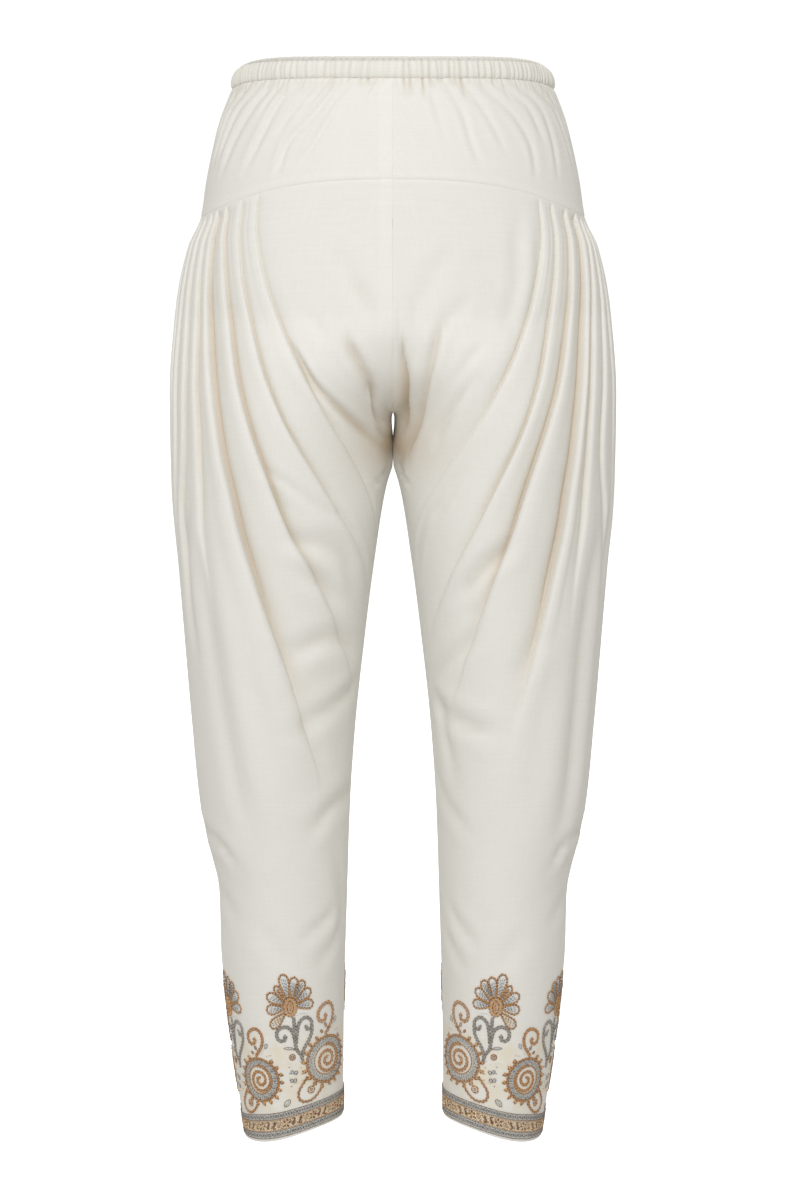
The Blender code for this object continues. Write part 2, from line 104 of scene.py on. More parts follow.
# The sewn-in pleats: bearing of each fold's edge at nine heights below the waist, the drop where it has died out,
# its depth, and how wide the cloth beside it stays open. A bearing is 0 at the side edge of the leg as seen from
# the front and 180 at its inner edge.
FOLD_HEIGHTS = (130.0, 170.0, 220.0, 280.0, 340.0, 400.0, 470.0, 550.0, 640.0)
Fold = namedtuple("Fold", "bearings end depth open")
FOLDS = {
    "front_right": (
        Fold((5, 7, 9, 10, 9, 7, 7, 8, 9), 430, 2.6, 2.0),
        Fold((11, 15, 18, 19, 18, 14, 13, 14, 16), 480, 3.4, 2.5),
        Fold((20, 24, 28, 31, 30, 24, 22, 24, 26), 520, 4.4, 3.0),
        Fold((30, 33, 38, 41, 43, 43, 48, 54, 62), 500, 4.6, 4.5),
        Fold((36, 41, 46, 52, 58, 67, 82, 103, 125), 670, 8.4, 9.8),
        Fold((45, 52, 60, 68, 79, 94, 122, 150, 172), 590, 7.0, 6.5),
        Fold((57, 63, 72, 84, 101, 128, 160, 176, 179), 520, 5.4, 3.6),
        Fold((68, 75, 87, 105, 126, 156, 174, 179, 179), 450, 4.4, 3.0),
    ),
    "front_left": (
        Fold((3, 4, 5, 6, 6, 7, 8, 9, 10), 420, 2.2, 2.0),
        Fold((7, 10, 13, 14, 14, 13, 13, 14, 16), 460, 3.0, 2.4),
        Fold((12, 17, 22, 27, 30, 24, 20, 22, 24), 500, 4.0, 3.0),
        Fold((19, 25, 33, 39, 42, 44, 49, 54, 60), 520, 4.6, 4.0),
        Fold((27, 33, 40, 46, 51, 57, 67, 81, 97), 640, 9.2, 10.4),
        Fold((39, 45, 52, 61, 73, 86, 105, 127, 153), 600, 7.2, 7.0),
        Fold((51, 56, 64, 73, 86, 106, 134, 164, 178), 540, 5.4, 3.6),
        Fold((60, 66, 76, 92, 114, 146, 170, 178, 179), 440, 4.8, 3.4),
    ),
    "back_right": (
        Fold((5, 7, 8, 9, 10, 11, 13, 15, 17), 480, 2.8, 2.2),
        Fold((14, 16, 19, 21, 23, 26, 30, 35, 41), 560, 3.6, 3.0),
        Fold((22, 26, 30, 33, 37, 41, 47, 55, 66), 640, 4.6, 4.0),
        Fold((31, 35, 40, 44, 49, 54, 63, 76, 96), 560, 5.0, 4.5),
        Fold((40, 45, 50, 56, 62, 70, 84, 108, 143), 640, 7.4, 8.0),
        Fold((49, 55, 62, 69, 79, 94, 120, 155, 178), 580, 6.8, 6.0),
        Fold((58, 64, 72, 84, 101, 126, 156, 176, 179), 520, 5.6, 4.0),
        Fold((68, 75, 85, 103, 126, 152, 173, 179, 179), 450, 4.8, 3.2),
    ),
    "back_left": (
        Fold((5, 6, 7, 8, 9, 10, 12, 14, 16), 470, 2.8, 2.2),
        Fold((12, 15, 17, 19, 22, 25, 29, 34, 40), 550, 3.6, 3.0),
        Fold((20, 24, 28, 32, 35, 39, 45, 54, 65), 650, 4.6, 4.2),
        Fold((29, 33, 38, 43, 47, 53, 62, 76, 96), 580, 5.0, 4.5),
        Fold((38, 43, 49, 54, 60, 69, 83, 107, 142), 650, 7.4, 8.0),
        Fold((47, 54, 61, 68, 78, 93, 119, 154, 178), 570, 6.8, 6.0),
        Fold((57, 62, 70, 82, 99, 124, 154, 175, 179), 500, 5.6, 4.0),
        Fold((66, 73, 83, 101, 124, 150, 172, 179, 179), 440, 4.8, 3.2),
    ),
}

# Soft creases: a path of (turn, drop) points, the width of the dip, how deep it sinks, how far the cloth swells
# beside it, first on the left of the path's direction and then on the right, and how much steeper the dip is on
# its right.
Crease = namedtuple("Crease", "path width dip swell_left swell_right lean", defaults=(0.0,))
LEG_CREASES = {
    "front_right": (
        Crease(((78, 360), (91, 377), (104, 394), (116, 407), (132, 419)), 3.8, 1.8, 0.5, 0.9),
        Crease(((90, 422), (104, 428), (120, 434), (134, 446), (146, 468)), 8.0, 2.6, 0.8, 1.5),
        Crease(((102, 446), (112, 459), (124, 468), (133, 484)), 7.0, 2.2, 1.3, 0.6),
        Crease(((126, 408), (140, 430), (150, 445), (164, 464)), 3.6, 1.6, 0.7, 0.6),
        Crease(((150, 398), (162, 391), (172, 386)), 3.5, 1.8, 0.7, 0.5),
        Crease(((98, 528), (110, 517), (126, 510), (142, 514), (158, 528)), 9.5, 2.9, 0.8, 1.5),
        Crease(((104, 593), (122, 581), (143, 568), (168, 553)), 8.5, 2.8, 1.2, 0.8),
        Crease(((92, 520), (105, 562), (118, 600), (138, 630)), 7.5, 2.6, 1.6, 0.8),
        Crease(((180, 654), (158, 660), (139, 667), (114, 690)), 9.0, 2.4, 0.8, 1.2),
        Crease(((40, 430), (46, 470), (51, 520), (57, 576), (64, 630), (74, 700)), 11.0, 2.8, 2.4, 0.4),
        Crease(((36, 392), (28, 430), (28, 478), (33, 530)), 8.0, 3.0, 1.2, 0.6),
        Crease(((72, 520), (82, 580), (90, 650)), 11.0, 1.2, 0.9, 0.4),
        Crease(((2, 688), (20, 694), (38, 699), (56, 718)), 6.0, 2.2, 1.2, 0.8),
        Crease(((0, 742), (24, 752), (50, 770)), 8.0, 1.2, 0.6, 0.6),
        Crease(((104, 786), (122, 777), (146, 761)), 6.0, 1.6, 0.6, 0.9),
        Crease(((120, 812), (138, 800), (158, 778)), 7.0, 1.2, 0.5, 0.6),
        Crease(((66, 772), (84, 790), (98, 812)), 9.0, 1.1, 0.4, 0.5),
        Crease(((140, 700), (156, 742), (162, 800)), 10.0, 1.4, 0.6, 0.8),
    ),
    "front_left": (
        Crease(((111, 375), (127, 401), (138, 424)), 4.0, 2.0, 0.7, 0.9),
        Crease(((124, 398), (138, 414), (151, 434), (162, 462)), 4.0, 1.8, 0.6, 0.8),
        Crease(((52, 150), (54, 169), (56, 203), (62, 240)), 7.0, 1.6, 0.4, 1.0),
        Crease(((46, 160), (48, 190), (52, 222)), 5.0, 0.9, 0.5, 0.3),
        Crease(((152, 398), (162, 392), (172, 386)), 3.5, 1.8, 0.5, 0.7),
        Crease(((88, 424), (98, 438), (110, 454), (125, 478)), 7.0, 3.4, 1.6, 1.4),
        Crease(((70, 500), (80, 522), (90, 546)), 9.0, 1.3, 0.5, 0.6),
        Crease(((164, 558), (144, 537), (126, 520), (108, 500)), 7.0, 2.2, 0.8, 1.6),
        Crease(((138, 640), (145, 605), (152, 566)), 8.0, 2.0, 0.8, 1.0),
        Crease(((160, 566), (140, 580), (122, 587), (100, 592)), 8.0, 2.6, 1.0, 1.8),
        Crease(((172, 628), (161, 650), (142, 671), (122, 688)), 8.0, 1.4, 0.5, 0.6),
        Crease(((30, 408), (37, 458), (42, 518), (44, 578), (46, 640), (52, 710)), 10.0, 2.8, 0.4, 2.4),
        Crease(((16, 380), (20, 430), (24, 480)), 7.0, 2.0, 0.6, 0.9),
        Crease(((68, 540), (74, 600), (80, 668)), 11.0, 1.1, 0.4, 0.8),
        Crease(((3, 688), (20, 693), (41, 700), (52, 720)), 6.0, 2.2, 0.8, 1.2),
        Crease(((0, 748), (26, 758), (48, 778)), 8.0, 1.1, 0.6, 0.6),
        Crease(((112, 790), (130, 779), (150, 758)), 6.5, 1.4, 0.8, 0.5),
        Crease(((126, 816), (142, 802), (160, 782)), 7.0, 1.1, 0.5, 0.5),
        Crease(((70, 778), (86, 796), (100, 816)), 9.0, 1.1, 0.5, 0.4),
    ),
    "back_right": (
        Crease(((88, 238), (102, 260), (120, 284), (142, 318), (160, 352)), 5.0, 5.0, 1.4, 1.6),
        Crease(((80, 254), (98, 284), (120, 318), (140, 358)), 5.5, 3.6, 1.2, 1.0),
        Crease(((72, 240), (86, 256), (102, 280)), 6.0, 1.8, 0.6, 0.6),
        Crease(((78, 372), (96, 392), (116, 412)), 4.5, 1.6, 0.6, 0.8),
        Crease(((100, 470), (122, 478), (146, 470)), 9.0, 2.0, 1.0, 1.4),
        Crease(((40, 618), (70, 634), (104, 630), (140, 612)), 9.0, 2.6, 1.4, 1.8),
        Crease(((30, 652), (62, 668), (100, 662), (148, 640)), 8.0, 2.8, 1.6, 1.4),
        Crease(((24, 700), (60, 708), (108, 694), (150, 678)), 9.0, 2.0, 1.0, 1.2),
        Crease(((4, 690), (24, 684), (46, 676)), 6.0, 1.8, 1.0, 0.8),
        Crease(((60, 744), (96, 752), (132, 736)), 10.0, 1.4, 0.7, 0.8),
        Crease(((150, 398), (162, 391), (172, 386)), 3.5, 1.5, 0.7, 0.5),
        Crease(((60, 790), (92, 800), (126, 786)), 9.0, 1.0, 0.5, 0.5),
    ),
    "back_left": (
        Crease(((88, 234), (104, 258), (122, 286), (144, 322), (160, 354)), 5.0, 5.0, 1.6, 1.4),
        Crease(((82, 258), (99, 288), (118, 320), (138, 360)), 5.5, 3.4, 1.0, 1.2),
        Crease(((70, 236), (84, 254), (100, 276)), 6.0, 1.8, 0.6, 0.6),
        Crease(((82, 380), (98, 398), (118, 416)), 4.5, 1.6, 0.8, 0.6),
        Crease(((96, 462), (118, 474), (142, 470)), 9.0, 2.0, 1.2, 1.2),
        Crease(((36, 610), (66, 630), (102, 628), (138, 606)), 9.0, 2.6, 1.6, 1.6),
        Crease(((28, 648), (60, 662), (98, 660), (144, 636)), 8.0, 2.8, 1.4, 1.6),
        Crease(((26, 694), (62, 704), (104, 692), (150, 672)), 9.0, 2.0, 1.2, 1.0),
        Crease(((4, 690), (26, 686), (48, 676)), 6.0, 1.8, 0.8, 1.0),
        Crease(((56, 740), (92, 748), (130, 730)), 10.0, 1.4, 0.8, 0.7),
        Crease(((152, 398), (162, 392), (172, 386)), 3.5, 1.5, 0.5, 0.7),
        Crease(((64, 794), (94, 802), (124, 788)), 9.0, 1.0, 0.5, 0.5),
    ),
}

# Creases at the front of the crotch: each path point is how far out from the centre line and how far below the waist
# it lies. The crossing lines gather towards the lowest point between the thighs.
CROTCH_CREASES = {
    "front_right": (
        Crease(
            ((41.0, 233.0), (39.5, 238.4), (35.9, 245.7), (30.1, 255.3), (24.0, 265.8), (18.6, 275.3), (15.6, 287.0),
             (15.4, 298.0)),
            5.6, 6.4, 0.6, 1.6, 0.42,
        ),
        Crease(
            ((17.6, 276.0), (15.6, 285.0), (15.8, 293.0), (16.2, 302.0), (14.8, 311.0), (11.6, 316.5), (6.0, 318.6)),
            2.5, 4.6, 0.9, 0.5, -0.3,
        ),
        Crease(
            ((92.0, 242.0), (85.0, 250.5), (79.0, 259.5), (73.0, 269.6), (64.6, 281.6), (52.6, 293.4), (39.1, 306.4),
             (26.1, 319.8), (13.0, 334.7), (2.4, 347.1)),
            3.6, 5.4, 0.7, 1.2, 0.40,
        ),
        Crease(((60.0, 291.0), (48.0, 302.0), (34.0, 318.0), (21.0, 334.0)), 6.0, 1.6, 0.2, 0.0),
        Crease(((75.1, 216.6), (64.9, 230.8), (56.1, 245.0)), 5.0, 1.3, 0.4, 0.4),
        Crease(((58.0, 246.0), (48.0, 262.0), (36.0, 280.0)), 5.0, 1.0, 0.3, 0.6, 0.2),
        Crease(((6.2, 205.0), (6.0, 232.0), (5.6, 262.0)), 2.6, 0.7, 0.2, 0.3),
        Crease(((14.0, 320.0), (9.0, 329.0), (3.0, 336.0)), 3.0, 1.8, 0.5, 0.4),
        Crease(((52.0, 160.0), (43.0, 176.0), (33.0, 196.0), (23.0, 220.0)), 9.0, 1.5, 0.3, 0.7),
        Crease(((36.0, 186.0), (25.0, 204.0), (16.0, 228.0)), 6.0, 1.2, 0.3, 0.5),
    ),
    "front_left": (
        Crease(
            ((7.8, 206.0), (6.9, 218.0), (6.4, 232.0), (7.0, 245.0), (9.2, 258.0), (11.4, 270.0), (12.3, 283.0),
             (12.2, 296.0), (12.6, 309.0), (10.4, 321.0), (4.6, 334.0)),
            4.4, 6.4, 1.8, 0.4, -0.46,
        ),
        Crease(((17.3, 201.0), (17.5, 217.5), (16.0, 230.5), (13.8, 243.0)), 3.4, 1.7, 0.5, 0.2),
        Crease(
            ((58.0, 210.0), (52.6, 217.5), (44.3, 229.0), (37.4, 246.4), (32.6, 265.6), (28.9, 282.2), (25.6, 297.7),
             (21.8, 315.9), (17.0, 330.2), (12.6, 342.9), (10.6, 361.0)),
            4.4, 5.6, 1.4, 0.9, -0.15,
        ),
        Crease(((82.0, 243.5), (72.7, 250.8), (64.0, 260.9), (56.0, 277.0)), 4.4, 1.7, 0.5, 0.5),
        Crease(((69.0, 275.0), (59.8, 290.2), (51.2, 305.4), (42.0, 324.0), (37.0, 340.0)), 3.6, 2.6, 0.8, 0.7),
        Crease(((67.0, 200.0), (59.7, 217.8), (56.0, 232.0)), 4.4, 1.2, 0.4, 0.4),
        Crease(((24.0, 226.0), (21.0, 246.0), (20.0, 268.0)), 4.2, 1.0, 0.4, 0.5),
        Crease(((8.0, 344.0), (6.6, 356.0), (7.4, 370.0)), 2.6, 1.8, 0.5, 0.4),
        Crease(((52.0, 162.0), (40.0, 178.0), (30.0, 196.0), (21.0, 218.0)), 8.0, 1.5, 0.4, 0.5),
        Crease(((66.0, 168.0), (81.0, 178.0), (94.0, 196.0)), 8.0, 1.0, 0.3, 0.4),
    ),
}

# How strongly each yoke's creases show, and their paths.
YOKE_FULLNESS = {"front_right": 0.95, "front_left": 0.6, "back_right": 0.7, "back_left": 0.7}
YOKE_CREASES = {
    "front_right": (
        Crease(((86, 24), (84, 34), (82, 46)), 1.6, 0.9, 0.5, 0.2),
        Crease(((82, 24), (81, 36), (79, 50)), 1.7, 0.9, 0.2, 0.5),
        Crease(((79, 24), (76, 34), (70, 64), (65, 94), (60, 120)), 3.0, 1.9, 0.5, 1.1),
        Crease(((75, 24), (73, 36), (70, 50)), 1.9, 0.9, 0.4, 0.4),
        Crease(((73, 24), (71, 33), (64, 63), (56, 90), (53, 130)), 3.2, 2.1, 0.5, 1.2),
        Crease(((68, 24), (66, 36), (61, 54)), 2.0, 1.0, 0.4, 0.4),
        Crease(((64, 24), (62, 34), (56, 60), (51, 80)), 2.6, 1.4, 0.4, 0.8),
        Crease(((58, 24), (55, 34), (50, 49), (45, 78), (39, 112)), 3.4, 2.2, 0.5, 1.2),
        Crease(((51, 24), (48, 36), (42, 58)), 2.3, 1.2, 0.4, 0.6),
        Crease(((46, 26), (43, 36), (38, 50), (29, 84), (25, 108)), 3.6, 2.0, 0.6, 1.0),
        Crease(((39, 27), (36, 37), (27, 56), (20, 92)), 3.2, 1.8, 0.5, 0.9),
        Crease(((31, 28), (27, 39), (19, 60), (14, 100)), 3.2, 1.6, 0.4, 0.8),
        Crease(((22, 29), (17, 44), (11, 74)), 2.8, 1.4, 0.4, 0.7),
        Crease(((13, 29), (9, 48), (6, 76)), 2.4, 1.1, 0.3, 0.5),
    ),
    "front_left": (
        Crease(((88, 22), (88, 34), (87, 52)), 1.7, 1.4, 0.5, 0.3),
        Crease(((84, 24), (84, 34), (83, 44)), 1.6, 0.8, 0.4, 0.2),
        Crease(((80, 24), (79, 32), (79, 42)), 1.6, 0.9, 0.2, 0.4),
        Crease(((78, 24), (77, 36), (76, 58), (73, 96)), 3.0, 1.1, 0.7, 0.3),
        Crease(((73, 24), (71, 34), (67, 62), (65, 94), (62, 122)), 3.2, 1.9, 1.1, 0.5),
        Crease(((69, 24), (67, 36), (64, 50)), 2.0, 0.9, 0.5, 0.3),
        Crease(((66, 24), (64, 37), (59, 59), (53, 98)), 3.2, 1.8, 1.0, 0.5),
        Crease(((61, 24), (58, 35), (48, 60), (42, 88), (42, 122)), 3.4, 2.1, 1.2, 0.5),
        Crease(((55, 24), (52, 34), (46, 48)), 2.2, 1.0, 0.5, 0.4),
        Crease(((51, 25), (49, 35), (40, 52), (35, 82)), 3.0, 1.8, 1.0, 0.4),
        Crease(((43, 26), (40, 36), (32, 52), (29, 82), (30, 114)), 3.4, 2.0, 1.1, 0.5),
        Crease(((34, 27), (30, 37), (22, 48), (17, 70), (14, 102)), 3.0, 1.7, 0.9, 0.4),
        Crease(((24, 29), (19, 42), (12, 66)), 2.7, 1.4, 0.7, 0.4),
        Crease(((14, 29), (9, 46), (6, 76)), 2.4, 1.1, 0.5, 0.3),
    ),
    "back_right": (
        Crease(((86, 24), (85, 40), (84, 62)), 2.2, 1.2, 0.4, 0.5),
        Crease(((80, 24), (78, 42), (74, 74), (71, 104)), 3.2, 1.8, 0.6, 1.0),
        Crease(((74, 24), (71, 40), (67, 58)), 2.4, 1.2, 0.4, 0.6),
        Crease(((68, 24), (65, 40), (58, 70), (52, 108)), 3.4, 2.0, 0.6, 1.1),
        Crease(((61, 25), (58, 40), (53, 58)), 2.4, 1.1, 0.4, 0.5),
        Crease(((55, 25), (51, 40), (44, 68), (39, 98)), 3.4, 2.0, 0.6, 1.1),
        Crease(((47, 26), (43, 40), (37, 62)), 2.6, 1.3, 0.4, 0.6),
        Crease(((40, 27), (36, 40), (28, 66), (24, 96)), 3.2, 1.8, 0.5, 1.0),
        Crease(((32, 28), (28, 42), (22, 64)), 2.6, 1.2, 0.4, 0.6),
        Crease(((24, 29), (19, 44), (13, 78)), 2.8, 1.5, 0.4, 0.8),
        Crease(((14, 29), (10, 46), (6, 74)), 2.4, 1.1, 0.3, 0.5),
    ),
    "back_left": (
        Crease(((87, 24), (86, 38), (84, 56)), 2.2, 1.2, 0.5, 0.4),
        Crease(((81, 24), (79, 40), (76, 70), (72, 100)), 3.2, 1.8, 1.0, 0.6),
        Crease(((75, 24), (73, 38), (69, 56)), 2.4, 1.2, 0.6, 0.4),
        Crease(((69, 24), (66, 40), (60, 68), (54, 104)), 3.4, 2.0, 1.1, 0.6),
        Crease(((62, 25), (59, 38), (55, 54)), 2.4, 1.1, 0.5, 0.4),
        Crease(((56, 25), (52, 40), (45, 70), (41, 104)), 3.4, 2.0, 1.1, 0.6),
        Crease(((48, 26), (44, 40), (38, 60)), 2.6, 1.3, 0.6, 0.4),
        Crease(((41, 27), (37, 40), (30, 64), (25, 90)), 3.2, 1.8, 1.0, 0.5),
        Crease(((33, 28), (29, 42), (23, 62)), 2.6, 1.2, 0.6, 0.4),
        Crease(((25, 29), (20, 44), (14, 74)), 2.8, 1.5, 0.8, 0.4),
        Crease(((15, 29), (10, 44), (7, 70)), 2.4, 1.1, 0.5, 0.3),
    ),
}


def ease(value, low, high):
    """0 below low, 1 above high, and a soft step between."""
    share = np.clip((np.asarray(value, dtype=float) - low) / (high - low), 0.0, 1.0)
    return share * share * (3.0 - 2.0 * share)


def curve(keys, values, at):
    """Smooth curve through the table's points that never overshoots them."""
    at = min(max(at, keys[0]), keys[-1])
    count = len(keys)
    steps = [(values[i + 1] - values[i]) / (keys[i + 1] - keys[i]) for i in range(count - 1)]
    slopes = [steps[0]] + [0.0] * (count - 2) + [steps[-1]]
    for i in range(1, count - 1):
        if steps[i - 1] * steps[i] > 0.0:
            before, after = keys[i] - keys[i - 1], keys[i + 1] - keys[i]
            near, far = 2.0 * after + before, after + 2.0 * before
            slopes[i] = (near + far) / (near / steps[i - 1] + far / steps[i])
    i = min(max(bisect.bisect_right(keys, at) - 1, 0), count - 2)
    width = keys[i + 1] - keys[i]
    u = (at - keys[i]) / width
    start = (1.0 + 2.0 * u) * (1.0 - u) ** 2 * values[i] + u * (1.0 - u) ** 2 * width * slopes[i]
    end = u * u * (3.0 - 2.0 * u) * values[i + 1] + u * u * (u - 1.0) * width * slopes[i + 1]
    return start + end


def column(table, name, drops):
    """One column of a table as a smooth curve, read at many drops."""
    keys = [row.drop for row in table]
    values = [getattr(row, name) for row in table]
    return np.array([curve(keys, values, drop) for drop in drops])


def side_nearness(forward):
    """1 at the side, where forward is 0, and 0 at the centre line, where it is 1, without a kink at the side."""
    soft = 0.12
    rounded = np.sqrt(forward * forward + soft * soft) - soft
    return 1.0 - rounded / (math.sqrt(1.0 + soft * soft) - soft)


class Cut:
    """The front or back of one side as a smooth surface of turn (radians) and drop, before folds."""

    def __init__(self, face):
        self.facing = -1.0 if face == "front" else 1.0
        self.drops = np.arange(25.0, 983.0, 1.5)
        self.columns = {
            "inner_drop": column(INNER_LINE, "inner_drop", self.drops),
            "inner_x": column(INNER_LINE, "inner_x", self.drops),
            "sweep": np.radians(90.0 + column(INNER_LINE, "wrap", self.drops)),
            "half_width": column(HALF_WIDTHS, "half_width", self.drops),
            "depth": column(DEPTHS, face, self.drops),
            "shift": column(DEPTHS, "shift", self.drops),
        }
        turns = np.linspace(0.0, 1.0, 65)[None, :] * self.columns["sweep"][:, None]
        spots = self.spot(turns, np.repeat(self.drops[:, None], 65, axis=1), 0.0)
        steps = np.diff(spots, axis=1)
        self.columns["length"] = np.sqrt((steps ** 2).sum(axis=2)).sum(axis=1)

    def at(self, name, drop):
        return np.interp(drop, self.drops, self.columns[name])

    def per_radian(self, drop):
        return self.at("length", drop) / self.at("sweep", drop)

    def spot(self, turn, drop, dip):
        """Points of the cloth, sunk into the body by dip."""
        half_width, inner_x = self.at("half_width", drop), self.at("inner_x", drop)
        reach = (half_width - inner_x) / (1.0 - np.cos(self.at("sweep", drop)))
        depth, inner_drop = self.at("depth", drop), self.at("inner_drop", drop)
        x = half_width - reach + reach * np.cos(turn)
        y = self.at("shift", drop) + self.facing * (depth * np.sin(turn) + 0.03)
        share = np.clip((x - inner_x) / (half_width - inner_x), 0.0, 1.0)
        waist_line = side_nearness(np.sqrt(1.0 - share * share)) ** 2
        yoke_line = share ** 2.7
        leg_line = share * share * (3.0 - 2.0 * share)
        upper = waist_line + (yoke_line - waist_line) * ease(drop, CASING_SEAM, 138.0)
        sunk = upper + (leg_line - upper) * ease(drop, 141.5, 220.0)
        z = -(inner_drop + (drop - inner_drop) * sunk)
        across, along = depth * np.cos(turn), reach * np.sin(turn) * self.facing
        size = np.hypot(across, along)
        return np.stack([x - across / size * dip, y - along / size * dip, z], axis=-1)


CUTS = {"front": Cut("front"), "back": Cut("back")}


def smooth_path(corners, steps=9):
    """A flowing line through a few corners."""
    line = []
    for i in range(len(corners) - 1):
        before, start = corners[max(i - 1, 0)], corners[i]
        end, after = corners[i + 1], corners[min(i + 2, len(corners) - 1)]
        for step in range(steps):
            u = step / steps
            line.append(tuple(
                0.5 * (2 * b + (c - a) * u + (2 * a - 5 * b + 4 * c - d) * u * u
                       + (3 * b - a - 3 * c + d) * u ** 3)
                for a, b, c, d in zip(before, start, end, after)
            ))
    return line + [corners[-1]]


def crease_dips(creases, spots, flat, trace):
    """How far the listed creases sink the cloth at each spot, by its distance from them across the cloth.

    flat holds the spots laid out flat, and trace turns a path into points among the spots and laid out flat.
    """
    total = np.zeros(spots.shape[:-1])
    for crease in creases:
        line, laid = trace(np.array(smooth_path(crease.path, 8)))
        reach = 4.0 * crease.width
        near = ((spots > line.min(axis=0) - reach) & (spots < line.max(axis=0) + reach)).all(axis=-1)
        if not near.any():
            continue
        point, here = spots[near], flat[near]
        spans, steps = np.diff(line, axis=0), np.diff(laid, axis=0)
        sizes = np.linalg.norm(spans, axis=1)
        runs = np.concatenate([[0.0], np.cumsum(sizes)])
        best = np.full(len(point), 1e9)
        side, run = np.zeros(len(point)), np.zeros(len(point))
        for i in range(len(spans)):
            t = np.clip((point - line[i]) @ spans[i] / sizes[i] ** 2, 0.0, 1.0)
            gap = np.linalg.norm(point - line[i] - t[:, None] * spans[i], axis=1)
            off = here - laid[i] - t[:, None] * steps[i]
            closer = gap < best
            best = np.where(closer, gap, best)
            side = np.where(closer, steps[i, 0] * off[:, 1] - steps[i, 1] * off[:, 0], side)
            run = np.where(closer, runs[i] + t * sizes[i], run)
        whole = runs[-1]
        taper = ease(run, -0.08 * whole, 0.30 * whole) * (1.0 - ease(run, 0.74 * whole, 1.08 * whole))
        away = best / (crease.width * (1.0 - crease.lean * np.sign(side)))
        dip = crease.dip * np.exp(-away ** 2)
        swell = np.where(side > 0.0, crease.swell_right, crease.swell_left)
        dip -= swell * np.exp(-((away - 1.9) / 1.1) ** 2)
        total[near] += dip * taper
    return total


def panel_creases(creases, place, drop, cut):
    """Dips of creases whose paths are turns and drops on one cut piece."""
    def trace(corners):
        turns, drops = np.radians(corners[:, 0]), corners[:, 1]
        return cut.spot(turns, drops, 0.0), np.stack([turns * cut.per_radian(drops), drops], axis=1)

    spots = cut.spot(place / cut.per_radian(drop), drop, 0.0)
    return crease_dips(creases, spots, np.stack([place, drop], axis=-1), trace)


def fold_softness(fold, drop):
    """0 where a fold's edge is pressed crisp and 1 where it has relaxed to a soft swell."""
    return np.maximum(ease(drop, 400.0, 640.0), 0.9 * ease(drop, fold.end - 230.0, fold.end - 20.0))


def fold_marks(folds, drop, cut):
    """Places along one row of the side seam, each fold's edge and foot, even cloth, and the inner edge."""
    samples, stride = 400, 8
    scale, length = float(cut.per_radian(drop)), float(cut.at("length", drop))
    turns = np.linspace(0.0, float(cut.at("sweep", drop)), samples)
    spots = cut.spot(turns, np.full(samples, drop), 0.0)
    inner, outer = spots[-1, 0], spots[0, 0]
    share = (spots[:, 0] - inner) / (outer - inner)
    bearings = np.degrees(np.arccos(np.clip(2.0 * share - 1.0, -1.0, 1.0)))
    free = length - MARGIN
    marks = [(0.0, 1.0), (MARGIN, 1.0)]
    for fold in folds:
        wanted = np.array([curve(FOLD_HEIGHTS, fold.bearings, -z) for z in spots[::stride, 2]])
        ahead = bearings - np.interp(np.arange(samples), np.arange(0, samples, stride), wanted)
        hit = int(np.argmax(ahead > 0.0)) if (ahead > 0.0).any() else samples - 1
        step = ahead[hit] / (ahead[hit] - ahead[hit - 1]) if 0 < hit < samples - 1 else 0.0
        edge = (turns[hit] - step * (turns[1] - turns[0])) * scale
        hold = 1.0 - float(ease(drop, fold.end, fold.end + 160.0))
        marks += [(edge, hold), (edge + FOLD_WALL + 4.5 * float(fold_softness(fold, drop)), hold)]
    last, hold = marks[-1]
    marks += [(last + (free - last) * (i + 1.0) / 7.0, hold) for i in range(6)]
    marks += [(free, 1.0), (length, 1.0)]
    count = len(marks)
    places = [length * i / (count - 1.0) * (1.0 - hold) + place * hold for i, (place, hold) in enumerate(marks)]
    places[0], places[1] = 0.0, MARGIN
    for i in range(2, count):
        places[i] = max(places[i], places[i - 1] + LEAST_STEP)
    places[-1], places[-2] = length, free
    for i in range(count - 3, 1, -1):
        places[i] = min(places[i], places[i + 1] - LEAST_STEP)
    return places


def fold_depths(folds, drops):
    """Depth of each fold at each drop: it opens below the yoke seam, is fullest at the thigh and dies out."""
    rise = 0.5 * ease(drops, 138.7, 148.0) + 0.5 * ease(drops, 150.0, 270.0)
    deepen = 1.0 + 0.35 * np.exp(-((drops - 430.0) / 80.0) ** 2)
    return np.array([
        1.15 * fold.depth * rise * deepen * (1.0 - ease(drops, fold.end - 200.0, fold.end)) for fold in folds
    ])


def settle(rows):
    """Evens out small kinks from row to row."""
    for _ in range(3):
        rows[1:-1] = 0.25 * rows[:-2] + 0.5 * rows[1:-1] + 0.25 * rows[2:]
    return rows


